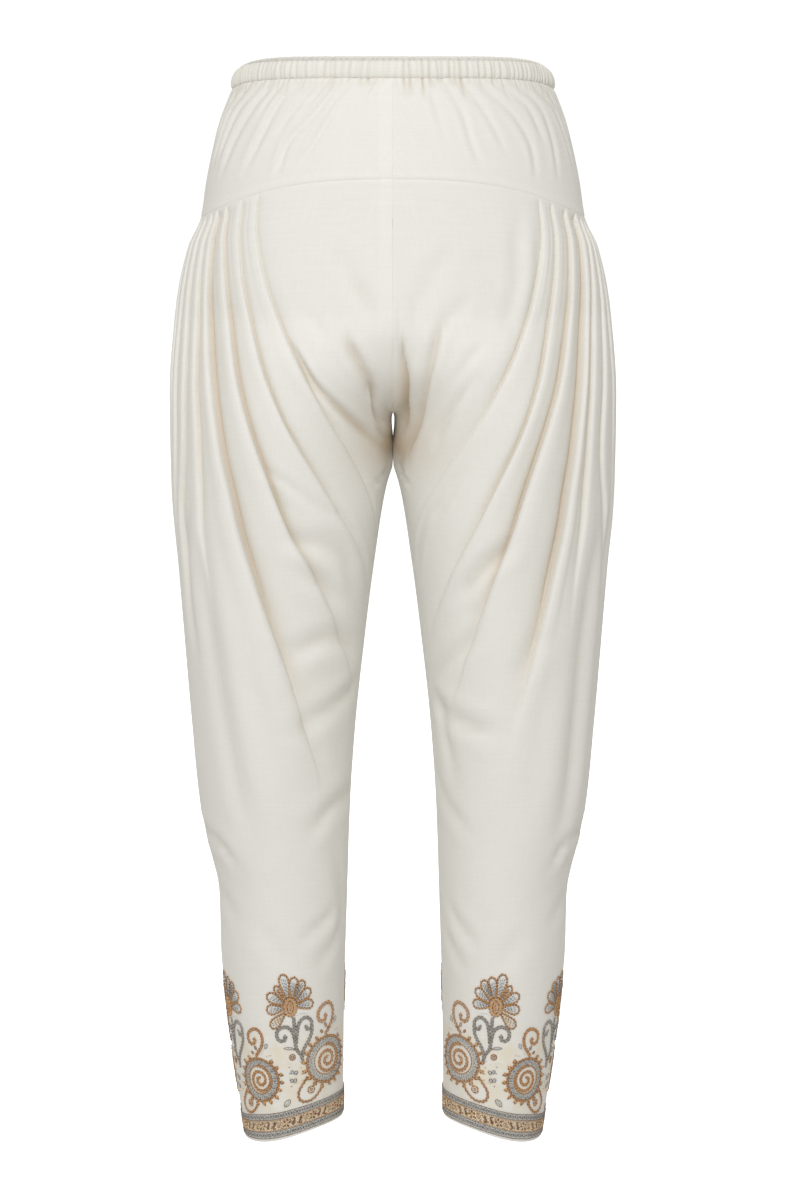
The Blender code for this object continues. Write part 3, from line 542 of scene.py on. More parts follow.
def leg_sheet_rows(panel, cut):
    """Place, drop, dip and painted shade of every spot of a leg panel, as rows by columns. The painted shade darkens
    the cloth's colour down the fold walls and in the valleys beside them.
    """
    folds = FOLDS[panel]
    drops = np.concatenate([
        [138.42, 138.9, 139.6, 140.6, 142.0, 144.0, 146.5, 149.5, 153.0, 157.0, 161.5],
        np.linspace(166.0, 560.0, 86), np.linspace(567.0, 956.0, 54),
        [961.0, 966.0, 970.5, 974.5, 977.5, 979.4, 980.5, HEM],
    ])
    marks = settle(np.array([fold_marks(folds, drop, cut) for drop in drops]))
    top = (ease(drops, 139.5, 146.0) * (1.0 - ease(drops, 165.0, 240.0)))[:, None]
    runs = []

    def shares(steps, lean=1.0):
        return np.linspace(0.0, 1.0, steps, endpoint=False)[None, :] ** lean

    def lay(mark, v, dip, painted_shade, tuck=0.0):
        start, end = marks[:, mark, None], marks[:, mark + 1, None]
        even = np.zeros((len(drops), v.shape[1]))
        runs.append(np.stack([start + (end - start) * v - tuck, dip + even, painted_shade + even]))

    def strip(start, v, fold, sunk):
        """Cloth from a fold's foot up to the next fold's edge."""
        out = v * (marks[:, start + 1, None] - marks[:, start, None])
        soft = fold_softness(fold, drops)[:, None]
        near = np.exp(-out / fold.open) * (1.0 - soft) + np.exp(-(out / (2.0 * fold.open)) ** 2) * soft
        rise = sunk * (0.72 * near + 0.28 * (1.0 - v)) * (1.0 - v ** 6)
        # The second value is painted shade: darker colour close beside the fold's foot, fading up the strip.
        return rise, np.clip(sunk / 8.5, 0.0, 1.0) * near ** 2 * (1.0 - v ** 4) * (1.0 - 0.92 * soft)

    lay(0, np.array([[0.0, 0.07, 0.25, 0.5, 0.75]]), 0.0, 0.0)
    lay(1, shares(5), 0.0, 0.0)
    depths = fold_depths(folds, drops)[:, :, None]
    for k, (fold, depth) in enumerate(zip(folds, depths)):
        edge = 2 + 2 * k
        v = shares(6)
        soft = fold_softness(fold, drops)[:, None]
        # Painted shade down the fold's wall, darker the deeper the fold.
        shade = np.clip(depth / 7.0, 0.0, 1.0) * ease(v, 0.1, 0.9) * (1.0 - 0.92 * soft)
        fall = (1.0 - (1.0 - v) ** 1.8) * (1.0 - soft) + ease(v, 0.0, 1.0) * soft
        lay(edge, v, depth * fall, shade, 0.18 * depth * np.sin(math.pi * v) * (1.0 - soft))
        last = k == len(folds) - 1
        v = shares(10 if last else 12, 1.35)
        rise, shade = strip(edge + 1, v, fold, depth)
        if not last:
            rise = rise - 0.10 * depths[k + 1] * np.sin(math.pi * np.clip(2.0 * v - 1.0, 0.0, 1.0))
            rise = rise - 0.30 * top * np.sin(math.pi * v) * np.cos(6.0 * math.pi * v)
        lay(edge + 1, v, rise, shade)
    for mark in range(2 * len(folds) + 2, marks.shape[1] - 2):
        lay(mark, shares(4), 0.0, 0.0)
    lay(marks.shape[1] - 2, np.array([[0.0, 0.25, 0.5, 0.75, 0.93, 1.0]]), 0.0, 0.0)
    place, dip, painted_shade = np.concatenate(runs, axis=2)
    rows = np.repeat(drops[:, None], place.shape[1], axis=1)
    fade = ease(place, MARGIN, MARGIN + 7.0) * ease(cut.at("length", rows) - place, MARGIN, 30.0)
    return place, rows, dip * fade, painted_shade * fade


def seam_dip(edge_gap, sink=SEAM_SINK, reach=3.0):
    """Cloth rolls in where it is sewn to its neighbour."""
    return sink * np.clip(1.0 - edge_gap / reach, 0.0, 1.0) ** 2


def new_piece(name, shape, materials):
    """Turns a finished bmesh into a smooth piece of the scene."""
    mesh = bpy.data.meshes.new(name)
    shape.to_mesh(mesh)
    shape.free()
    for material in materials:
        mesh.materials.append(material)
    mesh.shade_smooth()
    piece = bpy.data.objects.new(name, mesh)
    bpy.context.scene.collection.objects.link(piece)
    return piece


def corner_vertices(mesh):
    corners = np.empty(len(mesh.loops), dtype=np.int32)
    mesh.loops.foreach_get("vertex_index", corners)
    return corners


def lay_uv(mesh, uv):
    """Gives every face corner its place on the flat cloth, so that the weave follows the cut."""
    layer = mesh.uv_layers.new(name="cloth_uv")
    layer.data.foreach_set("uv", (uv * MM).astype(np.float32).ravel())


def lay_mark(mesh, name, values):
    """Gives every vertex a number that the materials read."""
    attribute = mesh.attributes.new(name, "FLOAT", "POINT")
    attribute.data.foreach_set("value", np.asarray(values, dtype=np.float32).ravel())


def cloth_sheet(name, spots, uv, marks, outward, material):
    """A grid of cloth moved onto its spots, with a wall as thick as the cloth."""
    rows, columns = spots.shape[:2]
    shape = bmesh.new()
    bmesh.ops.create_grid(shape, x_segments=columns - 1, y_segments=rows - 1, size=1.0)
    shape.verts.ensure_lookup_table()
    index = np.array([
        round((v.co.y + 1.0) * 0.5 * (rows - 1)) * columns + round((v.co.x + 1.0) * 0.5 * (columns - 1))
        for v in shape.verts
    ])
    flat = spots.reshape(-1, 3)[index] * MM
    for vertex, spot in zip(shape.verts, flat):
        vertex.co = spot
    if outward < 0:
        bmesh.ops.reverse_faces(shape, faces=shape.faces[:])
    bmesh.ops.triangulate(shape, faces=shape.faces[:], quad_method="SHORT_EDGE", ngon_method="BEAUTY")
    piece = new_piece(name, shape, [material])
    lay_uv(piece.data, uv.reshape(-1, 2)[index][corner_vertices(piece.data)])
    for key, values in marks.items():
        lay_mark(piece.data, key, values.ravel()[index])
    skin = piece.modifiers.new("cloth wall", "SOLIDIFY")
    skin.thickness = CLOTH_WALL * MM
    skin.offset = 0.0
    skin.use_even_offset = False
    return piece


def centre_seam_dip(gap):
    return seam_dip(gap, CENTRE_SEAM_SINK, CENTRE_SEAM_REACH)


def allowance(panel, inner_gap):
    """1 over the seam allowance pressed flat behind the centre seam, and 0 elsewhere."""
    if panel not in ALLOWANCE_PANELS:
        return np.zeros_like(inner_gap)
    return 1.0 - ease(inner_gap, ALLOWANCE_WIDTH - 1.5, ALLOWANCE_WIDTH)


def leg_dip(panel, place, drop, cut):
    """Creases and seams of a leg panel away from its pleats."""
    inner_gap = cut.at("length", drop) - place
    creases = panel_creases(LEG_CREASES[panel], place, drop, cut) * ease(np.minimum(place, inner_gap), 1.0, 12.0)
    return creases + seam_dip(place) + centre_seam_dip(inner_gap) + seam_dip(drop - YOKE_SEAM, 0.6)


def eased_crotch(spots, turn, drop, inner_gap):
    """How far each spot moves so that the cloth rolls softly under between the thighs."""
    weight = ease(inner_gap, 2.0, 26.0) * ease(drop, 262.0, 300.0) * (1.0 - ease(drop, 385.0, 425.0))
    weight = 0.5 * (weight * ease(turn, 1.0, 1.6))[1:-1, :, None]
    soft = spots.copy()
    for _ in range(60):
        soft[1:-1] += weight * (0.5 * (soft[:-2] + soft[2:]) - soft[1:-1])
    return soft - spots


# Warm shade where the thighs meet: how far it spreads from the centre line, its drop, and its strength.
Shade = namedtuple("Shade", "spread drop strength")
CROTCH_SHADES = (Shade(75.0, 322.0, 0.12), Shade(34.0, 333.0, 0.42), Shade(8.0, 337.0, 0.66))


def crotch_shade(panel, even, turn):
    """Warm shade around the crotch, and down the deep valley that runs into it on the front left."""
    x, drop = even[..., 0], -even[..., 2]
    shade = 0.0
    for spread, middle, strength in CROTCH_SHADES:
        shade = shade + strength * np.exp(-(x / spread) ** 2 - ((drop - middle) / (0.35 * spread + 12.0)) ** 2)
    shade = shade * ease(turn, 1.5, 2.1)
    if panel == "front_left":
        shade = shade + 0.6 * np.exp(-((x - 9.5) / 7.0) ** 2 - ((drop - 292.0) / 31.0) ** 2)
    return shade


def crotch_dips(panel, seen, inner_gap):
    """Creases at the front of the crotch, which fade out before the inner edge."""
    return crease_dips(
        CROTCH_CREASES.get(panel, ()), seen, seen, lambda corners: (corners, corners)
    ) * ease(inner_gap, 1.0, 9.0)


def leg_panel(panel, material):
    face, hand = panel.split("_")
    side = 1.0 if hand == "left" else -1.0
    cut = CUTS[face]
    place, drop, dip, painted_shade = leg_sheet_rows(panel, cut)
    inner_gap = cut.at("length", drop) - place
    turn = place / cut.per_radian(drop)
    even = cut.spot(turn, drop, 0.0)
    rolled = eased_crotch(even, turn, drop, inner_gap)
    seen = (even + rolled)[..., ::2] * (1.0, -1.0)
    creases = leg_dip(panel, place, drop, cut) + crotch_dips(panel, seen, inner_gap)
    # Painted shade: the folds' painted shade, darker colour in the deeper creases, and the warm painted shade round the
    # crotch.
    painted_shade = 0.84 * painted_shade + 0.56 * np.clip((creases - 1.3) / 5.5, 0.0, 1.0) + crotch_shade(panel, even, turn)
    pressed = allowance(panel, inner_gap) * (1.0 - ease(drop, 250.0, 320.0))
    spots = cut.spot(turn, drop, dip + creases - ALLOWANCE_RISE * pressed) + rolled
    spots[..., 0] *= side
    marks = {
        "painted_shade": np.clip(painted_shade, 0.0, 1.0),
        "pressed": pressed,
        "worked": ease(drop, 862.0, 892.0) * (1.0 - ease(drop, 948.0, 956.0)),
    }
    uv = np.stack([place, drop], axis=-1)
    outward = side if face == "front" else -side
    return cloth_sheet("leg_cloth_" + panel, spots, uv, marks, outward, material)


def pucker_dips(face, side, place, drop, length):
    """Short puckers that run on down from the casing's pinches."""
    dice = random.Random(5)
    total = np.zeros_like(place)
    for at, depth, width, _ in band_tucks():
        reach, strength, drift = dice.uniform(5.0, 26.0), dice.uniform(0.35, 1.0), dice.uniform(-1.2, 1.2)
        from_centre = abs(at) if face == "front" else 180.0 - abs(at)
        if from_centre > 90.0 or (at > 0.0) != (side > 0.0):
            continue
        strength *= 1.0 + 0.45 * math.exp(-(from_centre / 20.0) ** 2)
        down = np.clip((drop - CASING_SEAM - 0.1) / reach, 0.0, 1.0)
        middle = (1.0 - from_centre / 90.0) * length + drift * down
        spread = 2.13 * width * (1.1 + 1.6 * down)
        total += depth * strength * np.exp(-((place - middle) / spread) ** 2) * (1.0 - down) ** 1.3
    return total


def yoke_ripples(place, drop):
    """Long soft waves under the casing that die out down the yoke."""
    wave = np.cos(place * 2.0 * math.pi / 17.0 + 1.9 * np.sin(place / 31.0))
    return 0.4 * (0.55 + 0.45 * np.sin(place / 23.0 + 0.6)) * wave * (1.0 - ease(drop, 34.0, 86.0))


def yoke_panel(panel, material):
    face, hand = panel.split("_")
    side = 1.0 if hand == "left" else -1.0
    cut = CUTS[face]
    rows = np.concatenate([
        [26.62, 27.1, 27.9, 29.0, 30.4, 32.0, 34.0, 36.2, 38.8], np.linspace(42.0, 132.0, 28),
        [134.4, 136.2, 137.3, 138.0, 138.38],
    ])
    share = np.concatenate([
        [0.0, 0.001, 0.003, 0.007, 0.013], np.linspace(0.02, 0.98, 270), [0.987, 0.993, 0.997, 0.999, 1.0],
    ])
    drop = np.repeat(rows[:, None], len(share), axis=1)
    length = cut.at("length", drop)
    place = share[None, :] * length
    inner_gap = length - place
    edge = np.minimum(place, inner_gap)
    turn = place / cut.per_radian(drop)
    rise = cut.spot(turn, drop, 0.0)[..., 2] - cut.spot(turn, np.full_like(drop, YOKE_SEAM), 0.0)[..., 2]
    pucker = pucker_dips(face, side, place, drop, length)
    creases = YOKE_FULLNESS[panel] * panel_creases(YOKE_CREASES[panel], place, drop, cut) * ease(edge, 1.0, 8.0)
    cloth = (creases + pucker + yoke_ripples(place, drop) * ease(edge, 4.0, 14.0)) * ease(rise, 2.0, 16.0)
    seams = seam_dip(place) + centre_seam_dip(inner_gap) + seam_dip(rise, 0.6)
    seams = seams + seam_dip(drop - CASING_SEAM - 0.1, 0.8, 4.0)
    pressed = np.maximum(0.7 * (1.0 - ease(rise, 5.0, 8.0)), allowance(panel, inner_gap))
    spots = cut.spot(turn, drop, cloth + seams - ALLOWANCE_RISE * pressed)
    spots[..., 0] *= side
    # Painted shade in the puckers below the casing, darker the deeper the pucker.
    marks = {"painted_shade": np.clip(0.45 * pucker, 0.0, 0.6), "pressed": pressed, "worked": np.zeros_like(place)}
    uv = np.stack([place + 400.0, drop], axis=-1)
    outward = side if face == "front" else -side
    return cloth_sheet("yoke_cloth_" + panel, spots, uv, marks, outward, material)


# The waist casing: its half width and depth, the heights of its top edge at the front, back and side, the drop of
# its seam at the centre, its wall, its height and mean radius laid flat, and how many steps and pinches go round it.
WAIST_HALF_WIDTH = 143.4
WAIST_HALF_DEPTH = 101.5
WAIST_FRONT_TOP = 0.0
WAIST_BACK_TOP = 4.0
WAIST_SIDE_TOP = -10.2
WAIST_SEAM_CENTRE = 15.3
BAND_WALL = 3.4
BAND_HEIGHT = 17.0
BAND_RADIUS = 122.0
BAND_STEPS = 1180
BAND_PINCHES = 152

# The casing's section, closed: across its wall from the inside out, and up its height.
BAND_SECTION = (
    (0.50, 0.0), (0.62, 0.03), (0.76, 0.07), (0.88, 0.13), (0.96, 0.21), (1.0, 0.32), (1.0, 0.45), (1.0, 0.58),
    (0.99, 0.71), (0.95, 0.83), (0.86, 0.92), (0.68, 0.98), (0.46, 1.0), (0.2, 0.98), (0.04, 0.9), (0.0, 0.6),
    (0.0, 0.25), (0.08, 0.03), (0.3, 0.0),
)


def band_tucks():
    """Where the elastic pinches the casing: degrees from the centre front, and each pinch's depth, width and lean."""
    smooth_from, smooth_to = -6.4, 3.7
    dice = random.Random(11)
    tucks = []
    for i in range(BAND_PINCHES):
        turn = (i + 0.5 + dice.uniform(-0.26, 0.26)) * 360.0 / BAND_PINCHES - 180.0
        smooth = 0.42 if smooth_from < turn < smooth_to else 1.0
        tucks.append((turn, smooth * dice.uniform(0.5, 1.7), dice.uniform(0.38, 0.66), dice.uniform(-0.5, 0.5)))
    return tucks + [(smooth_from, 0.6, 0.5, 0.2), (smooth_to, 0.8, 0.45, 0.25)]


def band_heights(turn):
    """Lower and upper edge of the casing, as heights, at a turn in radians from the centre front."""
    end = np.where(np.cos(turn) > 0.0, WAIST_FRONT_TOP, WAIST_BACK_TOP)
    nearness = side_nearness(np.cos(turn))
    top = end + (WAIST_SIDE_TOP - end) * nearness ** 2.6
    low = -WAIST_SEAM_CENTRE + (WAIST_SEAM_CENTRE - CASING_SEAM) * nearness ** 2 + 0.05
    return low, top


def band_spots(turn, radial, height):
    """Points of the casing and how deep each is pinched; radial is 0 on the inner wall and 1 on the outer."""
    low, top = band_heights(turn)
    half_width = WAIST_HALF_WIDTH - 2.6 * height ** 1.5
    half_depth = WAIST_HALF_DEPTH - 1.8 * height ** 1.5
    degrees = np.degrees(turn)
    pinch = np.zeros_like(turn)
    for at, depth, width, lean in band_tucks():
        away = (degrees - at - lean * (height - 0.5) + 180.0) % 360.0 - 180.0
        pinch += depth * np.exp(-(away / width) ** 2)
    swell = 0.45 * np.sin(degrees * 1.37 + 0.8) * np.sin(degrees * 0.41) * ease(np.abs(degrees), 4.0, 12.0)
    body = 0.55 + 0.45 * np.sin(math.pi * np.clip(height, 0.0, 1.0)) ** 0.6
    outer = radial > 0.5
    sink = np.where(outer, pinch * body, 0.35 * pinch * body)
    out = BAND_WALL * (radial - 0.86) - sink + swell * body * outer + 0.9 * np.sin(math.pi * height) * outer
    nx, ny = np.sin(turn) * half_depth, -np.cos(turn) * half_width
    size = np.hypot(nx, ny)
    scallop = -0.35 * pinch * ease(height, 0.75, 1.0)
    x = half_width * np.sin(turn) + out * nx / size
    y = -half_depth * np.cos(turn) + out * ny / size
    return np.stack([x, y, low + (top - low) * height + scallop], axis=-1), pinch


def band_uv(mesh, turn, radial, height):
    """Unrolls the casing: along it by turn, and across it up the outside and down the inside."""
    corners = corner_vertices(mesh)
    sizes = np.empty(len(mesh.polygons), dtype=np.int32)
    mesh.polygons.foreach_get("loop_total", sizes)
    around = turn[corners]
    lead = np.repeat(around[np.cumsum(sizes) - sizes], sizes)
    around = around - 2.0 * math.pi * np.round((around - lead) / (2.0 * math.pi))
    across = np.where(radial > 0.5, height * BAND_HEIGHT, 60.0 - height * BAND_HEIGHT)[corners]
    return np.stack([around * BAND_RADIUS + 450.0, across], axis=-1)


def waistband(material):
    """The casing: its section spun round a hub, then pushed out to the waist's oval and pinched by the elastic."""
    hub = 2.0
    shape = bmesh.new()
    ring = [shape.verts.new((0.0, -(hub + radial), height)) for radial, height in BAND_SECTION]
    edges = [shape.edges.new((ring[i], ring[(i + 1) % len(ring)])) for i in range(len(ring))]
    bmesh.ops.spin(
        shape, geom=ring + edges, cent=(0.0, 0.0, 0.0), axis=(0.0, 0.0, 1.0),
        angle=2.0 * math.pi, steps=BAND_STEPS, use_merge=True,
    )
    first = np.array([vertex.co[:] for vertex in shape.verts])
    turn = np.arctan2(first[:, 0], -first[:, 1])
    radial, height = np.hypot(first[:, 0], first[:, 1]) - hub, first[:, 2]
    spots, pinch = band_spots(turn, radial, height)
    for vertex, spot in zip(shape.verts, spots * MM):
        vertex.co = spot
    bmesh.ops.recalc_face_normals(shape, faces=shape.faces[:])
    piece = new_piece("waist_casing", shape, [material])
    lay_uv(piece.data, band_uv(piece.data, turn, radial, height))
    # Painted shade in the elastic's pinches, darker the deeper the pinch.
    lay_mark(piece.data, "painted_shade", np.clip(0.3 * pinch, 0.0, 0.6))
    for name in ("pressed", "worked"):
        lay_mark(piece.data, name, np.zeros_like(pinch))
    return piece


# Thread embroidery round the hem. Every figure is drawn in millimetres on the cloth: x runs round the leg away
# from the side seam, y runs up. The figures repeat at the turns and drops in the two tables; a turn below 0 is on
# the back of the leg.
Spot = namedtuple("Spot", "turn drop size")
FLOWERS = (
    Spot(97.0, 848.0, 1.0), Spot(22.5, 856.0, 1.0), Spot(-44.0, 850.0, 1.0), Spot(-104.0, 846.0, 1.0),
    Spot(-160.0, 842.0, 0.85),
)
DISCS = (
    Spot(135.5, 908.0, 1.2), Spot(60.0, 920.0, 0.99), Spot(-13.0, 919.0, 1.02), Spot(-74.0, 914.0, 1.06),
    Spot(-134.0, 908.0, 1.08),
)

# The flower: its petals, by their angle from upright, and the lines of its stem and scrolls.
Petal = namedtuple("Petal", "angle length width fill")
PETALS = (
    Petal(-37.0, 23.5, 5.8, "gold"), Petal(-13.0, 30.0, 9.0, "silver"), Petal(11.0, 27.0, 7.8, "silver"),
    Petal(31.0, 27.0, 8.0, "slate"), Petal(54.0, 25.5, 7.8, "silver"), Petal(84.0, 23.0, 8.2, "silver"),
    Petal(-64.0, 24.5, 8.6, "silver"), Petal(-97.0, 23.0, 8.6, "silver"), Petal(-134.0, 26.5, 8.4, "cream"),
)
STEM = ((2.8, -9.5), (3.1, -20.8), (2.8, -30.9), (4.2, -40.5), (8.2, -46.5))
LOW_SCROLL = (
    (2.8, -30.5), (1.1, -23.4), (-3.4, -18.8), (-9.0, -18.6), (-13.5, -21.9), (-14.4, -27.0), (-11.8, -31.0),
    (-7.9, -30.9), (-5.9, -28.1), (-7.6, -26.2),
)
HIGH_SCROLL = (
    (4.0, -34.3), (5.2, -25.3), (7.3, -16.6), (11.5, -11.6), (16.3, -10.7), (20.3, -14.3), (20.7, -19.3),
    (17.8, -22.3), (14.8, -20.8), (15.0, -17.9),
)
FOOT_CURVE = ((20.9, -17.5), (20.3, -25.3), (17.1, -32.1), (12.4, -38.8), (9.3, -45.6), (9.0, -52.3))
GOLD_TENDRIL = ((-2.3, -39.6), (3.4, -41.3), (6.4, -44.6), (7.4, -49.5))

# The lines that leave the disc.
TAIL = (
    (-2.2, 21.4), (3.4, 27.6), (7.0, 34.6), (6.8, 41.8), (2.3, 46.4), (-4.0, 45.4), (-8.8, 40.8), (-8.6, 34.8),
    (-4.4, 32.4), (-0.8, 35.4), (-2.6, 38.2),
)
LOOP = (
    (-5.2, -20.4), (-9.4, -26.4), (-15.6, -30.8), (-22.4, -31.0), (-26.6, -27.2), (-26.6, -21.4), (-23.4, -16.4),
    (-19.0, -10.6),
)

# How far the border's foot stands above the hem, and the drop at which the round of the hem is measured.
BORDER_FOOT = 2.6
BORDER_DROP = 968.0
THREADS = ("gold", "brown", "silver", "slate", "cream", "ink", "amber")


class Needle:
    """Lays stitches on a leg, one row of numbers each: turn and drop of the figure's origin, x, y, heading, length,
    width, thread, shade and lift."""

    def __init__(self, seed):
        self.dice = random.Random(seed)
        self.start(Spot(0.0, 0.0, 1.0))
        self.rows = []

    def start(self, origin):
        self.origin = origin

    def take_rows(self):
        rows, self.rows = np.array(self.rows), []
        return rows

    def stitch(self, x, y, heading, length, width, thread, lift=0.0):
        dice = self.dice
        self.rows.append((
            self.origin.turn, self.origin.drop,
            (x + dice.uniform(-0.07, 0.07)) * self.origin.size, (y + dice.uniform(-0.07, 0.07)) * self.origin.size,
            heading + dice.uniform(-0.10, 0.10), length * dice.uniform(0.9, 1.1), width * dice.uniform(0.88, 1.12),
            THREADS.index(thread), dice.uniform(0.1, 1.0), lift,
        ))

    def run(self, path, threads, pitch=1.2, length=1.75, width=0.85, slant=0.35, offset=0.0, lift=0.0, late=0.0):
        """Stem stitch along a line, its thread colours taking turns."""
        line = np.array(path, dtype=float)
        steps = np.hypot(*np.diff(line, axis=0).T)
        runs = np.concatenate([[0.0], np.cumsum(steps)])
        count = max(2, int(round(runs[-1] / pitch)))
        at = ((np.arange(count) + 0.5 + late) % count) * runs[-1] / count
        x, y = np.interp(at, runs, line[:, 0]), np.interp(at, runs, line[:, 1])
        ahead = np.minimum(at + 0.4, runs[-1])
        behind = np.maximum(at - 0.4, 0.0)
        heading = np.arctan2(
            np.interp(ahead, runs, line[:, 1]) - np.interp(behind, runs, line[:, 1]),
            np.interp(ahead, runs, line[:, 0]) - np.interp(behind, runs, line[:, 0]),
        )
        for i in range(count):
            self.stitch(
                x[i] - math.sin(heading[i]) * offset, y[i] + math.cos(heading[i]) * offset,
                heading[i] + slant, length, width, threads[i % len(threads)], lift,
            )

    def rope(self, path, threads, dots, breadth=2.8, lift=0.1):
        """Two rows of slanting stitches side by side, with darker knots along both edges by turns."""
        for side in (-1.0, 1.0):
            self.run(path, threads, pitch=1.2, length=2.0, width=0.6 * breadth, slant=0.55 * side,
                     offset=0.25 * breadth * side, lift=lift)
            self.run(path, dots, pitch=3.3, length=1.9, width=1.2, slant=0.7 * side,
                     offset=0.34 * breadth * side, lift=lift + 0.5, late=0.25 * side)

    def ring(self, x, y, radius, threads, **settings):
        turns = np.linspace(0.0, 2.0 * math.pi, 40)
        self.run([(x + radius * math.cos(t), y + radius * math.sin(t)) for t in turns], threads, **settings)

    def leaf(self, x, y, heading, length, width, edge, fill):
        """A small leaf: two bowed edges and a filled heart."""
        for bow in (-1.0, 1.0):
            points = []
            for t in np.linspace(0.0, 1.0, 9):
                side = bow * 0.5 * width * math.sin(math.pi * t) ** 0.8
                points.append((
                    x + math.cos(heading) * length * (t - 0.5) - math.sin(heading) * side,
                    y + math.sin(heading) * length * (t - 0.5) + math.cos(heading) * side,
                ))
            self.run(points, edge, pitch=1.1, length=1.5, width=0.95)
        self.run(
            [(x - math.cos(heading) * length * 0.3, y - math.sin(heading) * length * 0.3),
             (x + math.cos(heading) * length * 0.3, y + math.sin(heading) * length * 0.3)],
            fill, pitch=1.0, length=1.8, width=1.4, lift=0.2,
        )


def petal_half_width(share):
    """Half width of a petal at a share of its length, for a greatest half width of 1."""
    if share < 0.7:
        return (share / 0.7) ** 0.75
    return math.sqrt(max(0.0, 1.0 - ((share - 0.7) / 0.3) ** 2))


def work_flower(needle):
    """A flower of petals round an amber heart, on a stem with scrolls, a tendril and small leaves."""
    for petal in PETALS:
        angle = math.radians(90.0 - petal.angle)
        along, across = (math.cos(angle), math.sin(angle)), (-math.sin(angle), math.cos(angle))
        root = 5.4 + 2.6 * abs(math.cos(math.radians(petal.angle)))
        reach = petal.length - root

        def put(share, side):
            out = root + reach * share
            return along[0] * out + across[0] * side, along[1] * out + across[1] * side

        shares = 0.5 - 0.5 * np.cos(np.linspace(0.0, math.pi, 15))
        left = [put(t, 0.5 * petal.width * petal_half_width(t)) for t in shares]
        right = [put(t, -0.5 * petal.width * petal_half_width(t)) for t in shares[::-1]]
        needle.run(left + right, ("gold",), pitch=1.2, offset=0.4, length=2.0, width=1.9, lift=0.2)
        needle.run(left + right, ("brown",), pitch=3.2, offset=0.8, length=1.7, width=1.1, lift=0.7)
        needle.run(left + right, ("ink",), pitch=2.6, offset=-0.5, length=1.7, width=1.0, slant=0.1, lift=0.6)
        for side in (-0.28, 0.0, 0.28):
            for k in range(int(reach / 2.4)):
                share = 0.2 + 0.66 * (k + 0.5 * (side == 0.0)) / (reach / 2.4)
                spread = petal.width * petal_half_width(share) - 2.2
                if spread > abs(side) * 2.0:
                    needle.stitch(*put(share, side * spread), angle, 2.7, 1.15, petal.fill)
                if (k + (side > 0.0)) % 2 and spread > abs(side) * 2.0:
                    dot = "brown" if petal.fill == "gold" else "ink"
                    needle.stitch(*put(share + 0.04, side * spread), angle, 1.4, 0.95, dot, 0.5)
    for row in range(-5, 6):
        x = row * 1.22
        half = 8.8 * math.sqrt(max(0.05, 1.0 - (x / 6.8) ** 2))
        for k in range(max(2, int(2.0 * half / 2.3))):
            needle.stitch(x, -half + 2.3 * (k + 0.5) + 0.4 * (row % 2), math.pi / 2.0, 2.7, 1.35, "amber", 0.35)
    rim = [(6.6 * math.sin(t), 8.8 * math.cos(t)) for t in np.linspace(0.0, 2.0 * math.pi, 40)]
    heart = [(3.0 * math.sin(t), 5.8 * math.cos(t)) for t in np.linspace(0.0, 2.0 * math.pi, 30)]
    needle.run(rim, ("amber", "brown"), pitch=1.5, width=1.1, lift=0.8)
    needle.run(heart, ("brown", "gold", "brown"), pitch=1.3, length=1.8, width=1.15, slant=0.1, lift=0.9)
    needle.run([(0.0, -3.4), (0.2, 3.4)], ("brown", "gold"), pitch=1.7, length=1.5, width=1.1, lift=0.9)
    for corners in (STEM, LOW_SCROLL, HIGH_SCROLL, FOOT_CURVE):
        needle.rope(smooth_path(corners), ("slate",), ("ink",), 3.4)
    needle.run(smooth_path(GOLD_TENDRIL), ("gold", "brown"), pitch=1.3, width=1.1)
    needle.leaf(-3.2, -38.9, -0.12, 10.5, 2.4, ("slate",), ("silver",))
    needle.run([(5.0, -8.5), (10.0, -6.6), (16.0, -6.9)], ("silver",), pitch=1.6, width=0.6)
    needle.ring(-0.6, -47.5, 2.7, ("gold", "brown"), pitch=1.1, length=1.7, width=1.5)
    needle.ring(-0.6, -47.5, 1.1, ("brown", "gold"), pitch=1.0, length=1.4, width=1.2)
    for x, y, lean in ((-1.6, -62.0, 0.5), (2.0, -63.0, -0.6), (-2.8, -70.0, 0.4), (0.6, -70.6, -0.5)):
        needle.leaf(x, y, 1.57 + lean, 4.4, 2.9, ("slate", "ink"), ("silver",))
    for k in range(5):
        needle.stitch(-0.5 + 1.6 * k, -73.0 - 0.8 * (k % 2), 0.5 * (-1) ** k, 1.9, 0.6, "cream")
        needle.stitch(-8.5 + 1.7 * k, -54.0 + 0.9 * (k % 3), 0.8, 1.5, 0.5, "cream")
    for k in range(12):
        needle.stitch(
            6.4 - 4.9 * (k % 3) + 0.9 * math.sin(k * 2.3), -52.6 - 2.1 * k, 0.9 * math.sin(k * 1.9), 1.9, 0.9,
            ("gold", "cream", "brown")[k % 3],
        )
    needle.leaf(-8.6, -91.0, 0.75, 8.6, 4.8, ("slate", "ink"), ("silver", "slate"))


